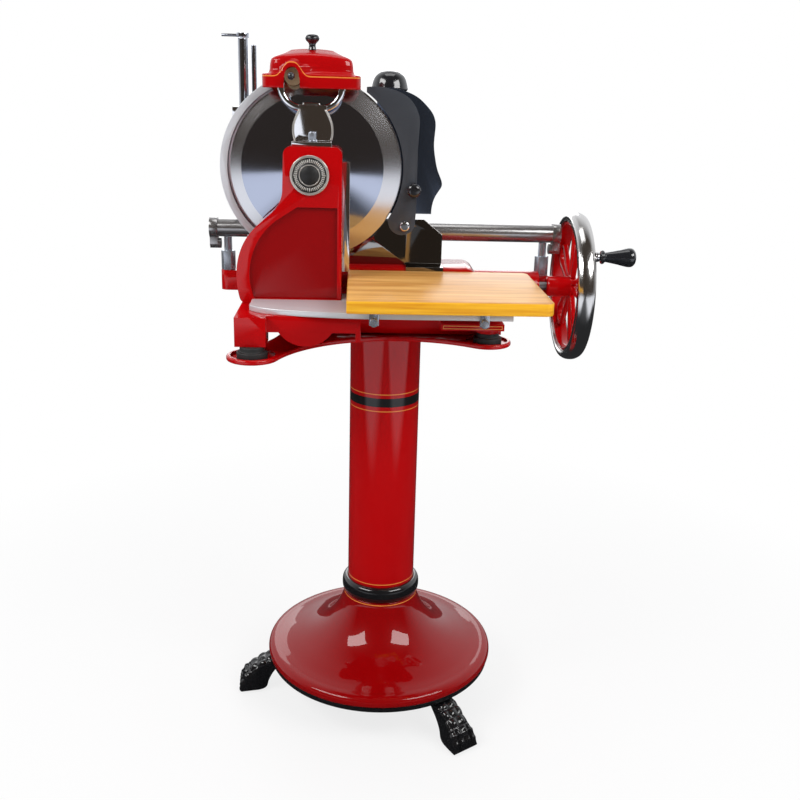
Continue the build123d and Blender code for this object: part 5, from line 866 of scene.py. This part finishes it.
block = np.stack(
    [
        np.stack(
            (
                BLADE_X + block_side[:, 0] * k, np.full(len(block_side), y),
                1092.5 + (block_side[:, 1] - 1092.5) * k,
            ),
            -1,
        )
        for y, k in ((-48, 0), (-48, 0.93), (-47.4, 1), (-38.6, 1), (-38, 0.93), (-38, 0))
    ]
)
fit(
    skin("yoke", [yoke_bar, block]), chrome, "pedestal_and_base", "sharpener_yoke",
    "sharpener_yoke",
)
# Painted shade: a black disc on the block's front stands for the dark inside of the pin hole.
pin_hole_shade = turned(
    [(0, -0.4), (1.9, -0.3), (1.9, 0.5), (0, 0.5)], (BLADE_X, -48, 1092), axis=1, sides=32,
)
fit(skin("yoke_hole_shade", [pin_hole_shade]), engraved_black, "pedestal_and_base", "sharpener_yoke")

# ------------------------------------------------------------------ sharpener cover
# Red enamelled hood over the two stones, with a skirt, a mouth for the button and a gold line
# along the skirt and over the mouth.
HOOD_MIDDLE = (-129.3, -6.15)
HOOD_HALF = (79.7, 46.15)
MOUTH_X, NOTCH_Y = -30.7, 4.15
HOOD_SIDE = (
    (0, 0), (1.5, 1.6), (3.5, 7), (6, 10.4), (10, 11.8), (20, 12.4), (27, 13.4), (30.4, 14.8),
    (32.6, 17.2), (34.2, 21), (36.2, 28), (38, 35), (39.6, 41), (40.6, 44.6), (41.2, 46.15),
)


def hood_grid(wall):
    """The hood's skin `wall` millimetres in from its outside, as a grid. At height z the plan is
    |x/a|^6 + |y/b|^6 = 1, a and b falling with z by HOOD_SIDE. The skirt's top line rises by
    22 exp(-|d/17|^3) over the mouth, d off its middle; the roof sinks by 0.3 (x/a)^2 to its ends."""
    power = 1 / 3
    mouth_x = np.abs(MOUTH_X + 13 * np.sin(np.linspace(-1, 1, 13) * np.pi / 2))
    notch_y = np.abs(NOTCH_Y + 14 * np.sin(np.linspace(-1, 1, 9) * np.pi / 2))
    quarter = np.concatenate(
        (
            np.linspace(0, np.pi / 2, 26), np.arccos((mouth_x / HOOD_HALF[0]) ** 3),
            np.arcsin((notch_y / HOOD_HALF[1]) ** 3),
        )
    )
    quarter = np.unique(quarter.round(6))
    t = np.unique(
        np.concatenate((quarter, np.pi - quarter, np.pi + quarter, 2 * np.pi - quarter)).round(6)
    )
    t = t[t < 2 * np.pi - 1e-4][None, :]
    x0 = HOOD_HALF[0] * np.sign(np.cos(t)) * np.abs(np.cos(t)) ** power
    y0 = HOOD_HALF[1] * np.sign(np.sin(t)) * np.abs(np.sin(t)) ** power
    front = y0 < 0
    mouth = np.clip(1 - np.abs((x0 - MOUTH_X) / 13) ** 2.6, 0, 1) ** (1 / 2.6) * 33 * front
    notch = np.clip(1 - np.abs((y0 - NOTCH_Y) / 14) ** 6, 0, 1) ** (1 / 6) * 25 * (np.abs(x0) > 60)
    z = np.concatenate(
        (np.linspace(0, 17, 8), np.linspace(18, 47, 36), np.linspace(47.5, 61.2, 24))
    )[:, None] * ((61.2 - wall) / 61.2)
    z = np.maximum(z, np.maximum(mouth, notch))
    rise = 22 * np.exp(-np.abs((x0 - MOUTH_X) / 17) ** 3) * front
    high, inset = np.transpose(HOOD_SIDE)
    body = np.interp(z + wall - 20, high, inset)
    step = np.clip((z + wall - 19 - rise) / 5, 0, 1)
    inward = np.where(
        z + wall > 47, body, body * step * step * (3 - 2 * step),
    ) * (1 - wall / HOOD_HALF[1]) + wall
    a, b = HOOD_HALF[0] - inward, HOOD_HALF[1] - inward
    even = np.minimum(50, 0.72 * a)
    x = np.sign(x0) * (even + (np.abs(x0) - 50) * (a - even) / (HOOD_HALF[0] - 50))
    x = np.where(np.abs(x0) < 50, x0 * even / 50, x)
    y = np.sign(y0) * b * np.clip(1 - np.abs(x / a) ** 6, 0, 1) ** (1 / 6)
    lift = np.clip(z - 20, 0, None)
    return np.stack(
        (HOOD_MIDDLE[0] + x, HOOD_MIDDLE[1] + y, 1122 + z - 0.3 * lift * (x / HOOD_HALF[0]) ** 2),
        -1,
    )


outside, inside = hood_grid(0.0), hood_grid(4.0)
red_hood = finish(
    "red_hood", (0.40, 0.000, 0.0012), (0.44, 0.0004, 0.0016), 5, rough=(0.3, 0.38), coat=0.8,
    dents=0.00006, dent_cells=70, specular=0.05,
)
spot = parts_of(red_hood, "ShaderNodeTexCoord", "Object")
off = worked(red_hood, "ADD", spot["X"], 0.160)
off = worked(red_hood, "ABSOLUTE", worked(red_hood, "MULTIPLY", off, 1 / 0.017))
bell = worked(red_hood, "MULTIPLY", worked(red_hood, "POWER", off, 3.0), -1.0)
bell = worked(red_hood, "EXPONENT", bell)
bell = worked(red_hood, "MULTIPLY", bell, worked(red_hood, "LESS_THAN", spot["Y"], -0.02))
line_z = worked(red_hood, "ADD", worked(red_hood, "MULTIPLY", bell, 0.0215), 1.1398)
away = worked(red_hood, "ABSOLUTE", worked(red_hood, "SUBTRACT", spot["Z"], line_z))
laid_over(red_hood, [(worked(red_hood, "LESS_THAN", away, 0.0009), GOLD)])
hood = skin("cover_hood", [np.concatenate((outside, inside[::-1], outside[:1]))])
fit(hood, red_hood, "cover", "sharpener_cover", "sharpener_cover")

# ------------------------------------------------------------------ sharpener knob, button and stones
# Black knob that lowers the cover, black ball of the truing button, and the two pale bonded
# grinding stones inside.
HOOD_KNOB_Y = -7
top_knob_profile = np.vstack(
    (
        [(0, 1175), (3, 1175), (3, 1181.5)],
        flowing(
            [
                (7, 1181.6), (6.2, 1184), (5.6, 1188), (6.4, 1192), (9.6, 1195), (11.5, 1198),
                (11.5, 1201), (9, 1204.4), (4.5, 1205.7), (0, 1206),
            ],
            6,
        ),
    )
)
fit(
    skin("hood_knob", [turned(top_knob_profile, (BLADE_X, HOOD_KNOB_Y, 0), sides=64)]), black_gloss,
    "cover_knob", "sharpener_knob", "sharpener_knob",
)
cast_piece("stone_button", "button", 0.2, black_gloss, "button")
bonded_stone = finish(
    "bonded_stone", (0.62, 0.45, 0.24), (0.74, 0.57, 0.34), 300, rough=(0.7, 0.9), dents=0.0003,
    dent_cells=1500,
)
repaint(bonded_stone, "truing_stone", "grinding_stone")

# ------------------------------------------------------------------ flywheel
# Chromed cast rim with a crowned face, shrunk on a red enamelled spider of five drop-shaped
# loops. The hub is keyed to the shaft under a chromed cap nut.
HUB_Y, HUB_Z = 20, 797
rim_profile = np.vstack(
    (
        [(115, 316), (115, 344)], eased([(115, 345), (124.4, 345), (126.5, 342.5)], 1.5),
        flowing([(126.5, 342.5), (129.2, 337), (130, 330), (129.2, 323), (126.5, 317.5)], 6),
        eased([(126.5, 317.5), (124.4, 315), (115, 315)], 1.5), [(115, 316)],
    )
)
rim_chrome = finish(
    "rim_chrome", (0.66, 0.65, 0.64), (0.76, 0.75, 0.74), 9, rough=(0.12, 0.2), metal=1.0,
)
fit(
    skin("wheel_rim", [turned(rim_profile, (0, HUB_Y, HUB_Z), axis=0, sides=240)]), rim_chrome,
    "flywheel", "flywheel_rim", "flywheel_rim",
)


LOOP_TURNS = 100 + 72 * np.arange(5)


def drop_line(turn, near=24, near_r=7, far=89, far_r=18):
    """The middle line of one drop-shaped loop: an arc round each of two centres on the
    loop's own ray, joined by the two straight lines that touch both."""
    slope = np.arccos((near_r - far_r) / (far - near))
    far_arc = np.linspace(-slope, slope, 40)
    near_arc = np.linspace(slope, 2 * np.pi - slope, 24)
    radial = np.concatenate((far + far_r * np.cos(far_arc), near + near_r * np.cos(near_arc)))
    sideways = np.concatenate((far_r * np.sin(far_arc), near_r * np.sin(near_arc)))
    turn = np.radians(turn)
    y = HUB_Y + radial * np.cos(turn) - sideways * np.sin(turn)
    z = HUB_Z + radial * np.sin(turn) + sideways * np.cos(turn)
    line = np.stack((np.full_like(y, 330), y, z), -1)
    share = np.linspace(0, 1, 12)[1:-1, None]
    run_in = line[39] + (line[40] - line[39]) * share
    run_out = line[-1] + (line[0] - line[-1]) * share
    return np.vstack((line[:40], run_in, line[40:], run_out))


loops = [
    swept(drop_line(turn), (1, 0, 0), 9, 8, closed=True, corners=24, power=0.45)
    for turn in LOOP_TURNS
]
flange_profile = eased(
    [(112, 318), (114.85, 318), (114.85, 342), (109, 342), (109, 318), (112, 318)], 1.2,
)
hub_profile = eased(
    [(7.7, 284), (15, 284), (18, 287), (18, 325), (20, 330), (18, 337), (7.7, 337), (7.7, 284)], 2,
)
spider = skin(
    "wheel_spider",
    loops + [turned(p, (0, HUB_Y, HUB_Z), axis=0) for p in (flange_profile, hub_profile)],
)
fit(spider, red_cast, "flywheel", "flywheel_spider", "flywheel_spider")
cap_profile = eased([(0, 336.8), (11, 336.8), (11, 340.5), (9.5, 342), (0, 342)], 0.8)
fit(
    skin("cap_nut", [turned(cap_profile, (0, HUB_Y, HUB_Z), axis=0, sides=64)]), chrome, "flywheel",
    "flywheel_shaft",
)
repaint(machined_steel, "flywheel_shaft")

# ------------------------------------------------------------------ crank handle
# Black turned grip with a ball at its root that spins on a steel stem screwed into the rim,
# with a chromed ferrule between.
HANDLE_Y, HANDLE_Z = -78.298, 865.829
stem_profile = eased(
    [(0, 331), (4, 331), (4, 345), (8, 345), (8, 349), (6.8, 352), (5, 352), (5, 400), (0, 400)],
    0.8,
)
fit(
    skin("grip_stem", [turned(stem_profile, (0, HANDLE_Y, HANDLE_Z), axis=0, sides=64)]), chrome,
    "flywheel", "handle_stem", "handle_stem",
)
grip_profile = np.vstack(
    (
        [(5.05, 400.5), (5.05, 352.6)],
        flowing(
            [
                (7.4, 352.6), (10.8, 354.2), (11.5, 356.4), (10.4, 358.8), (8.2, 360.6), (8.2, 363),
                (9.9, 372), (12.3, 384), (14.7, 394), (15.8, 401), (15.0, 406.5), (11.2, 410.6),
                (5.6, 412.1), (0, 412.4),
            ],
            7,
        ),
    )
)
grip_profile = np.vstack(([(0, 400.5)], grip_profile))
fit(
    skin("grip_handle", [turned(grip_profile, (0, HANDLE_Y, HANDLE_Z), axis=0, sides=72)]),
    black_gloss, "grip", "crank_grip", "crank_grip",
)

# ------------------------------------------------------------------ rail, caps, pillars and guide bar
# Ground and satin-polished steel tube on two hexagon-footed pillars, closed by turned end
# caps. A flat bar behind it keeps the carriage level.
satin_steel = finish(
    "satin_steel", (0.44, 0.43, 0.43), (0.52, 0.51, 0.51), 6, stretch=(1, 12, 12), rough=(0.2, 0.3),
    metal=0.9,
)
RAIL_Y, RAIL_Z = 60, 884
rail_profile = eased([(11, -298.8), (15.5, -298.8), (15.5, 296.8), (11, 296.8), (11, -298.8)], 0.6)
fit(
    skin("rail", [turned(rail_profile, (0, RAIL_Y, RAIL_Z), axis=0, sides=96)]), satin_steel,
    "pedestal_and_base", "rail_tube", "rail_tube",
)
cast_piece("rail_end_caps", "rail_caps", 1.6, satin_steel)
cast_piece("rail_pillars", "pillars", 0.7, nickel_plate)
cast_piece("rear_guide_bar", "guide_bar", 1.0, satin_steel)

# ------------------------------------------------------------------ carriage and product table
# Cast and machined carriage whose sleeve runs on the rail, and the steel table that feeds
# across it on a screw with a knurled knob.
cast_piece("carriage_frame", "carriage_body", 1.6, satin_steel, "carriage")
cast_piece("product_table", "table_plate", 1.4, satin_steel, "table")
cast_piece("feed_screw", "feed_spindle", 0.8, machined_steel, "screw")

# ------------------------------------------------------------------ fence and its knob
# Blued steel fence plate with a scalloped edge that the product leans on, pushed by a big
# black half-round knob.
blued_steel = finish(
    "blued_steel", (0.055, 0.068, 0.095), (0.11, 0.14, 0.20), 6, rough=(0.2, 0.3), metal=0.85,
)
cast_piece("fence_plate", "fence", 0.7, blued_steel, "fence")
DOME_Y = 74
dome_profile = np.vstack(
    (
        [(0, 1100.5), (9, 1100.5)],
        eased([(9, 1100.5), (9, 1117), (28, 1121), (32, 1124), (32, 1126.5)], 2),
        flowing(
            [(31.6, 1128), (29.5, 1137), (25.2, 1146), (17.5, 1152), (9, 1154.5), (0, 1155)], 8,
        ),
    )
)
fit(
    skin("dome_knob", [turned(dome_profile, (0, DOME_Y, 0), sides=96)]), black_gloss,
    "knob_on_fence", "fence_knob", "fence_knob",
)

# ------------------------------------------------------------------ clamp posts, press arm and handle
# Two chromed posts on the table, the press arm with its spikes that slides on them, and the
# T-handle that locks it.
POST_Y = 150
POSTS = ((-258, 9.0, 1204), (-239, 4.7, 1193))
posts = [
    turned(eased([(0, 931.6), (r, 931.6), (r, top), (0, top)], 1.2), (x, POST_Y, 0), sides=64)
    for x, r, top in POSTS
]
post_chrome = finish(
    "post_chrome", (0.46, 0.48, 0.54), (0.54, 0.56, 0.61), 9, rough=(0.10, 0.16), metal=1.0,
)
fit(skin("posts", posts), post_chrome, "table", "clamp_posts", "clamp_posts")
cast_piece("press_arm", "press", 1.4, chrome, "press")
cast_piece("clamp_handle", "lock_handle", 0.8, post_chrome, "post_handle")
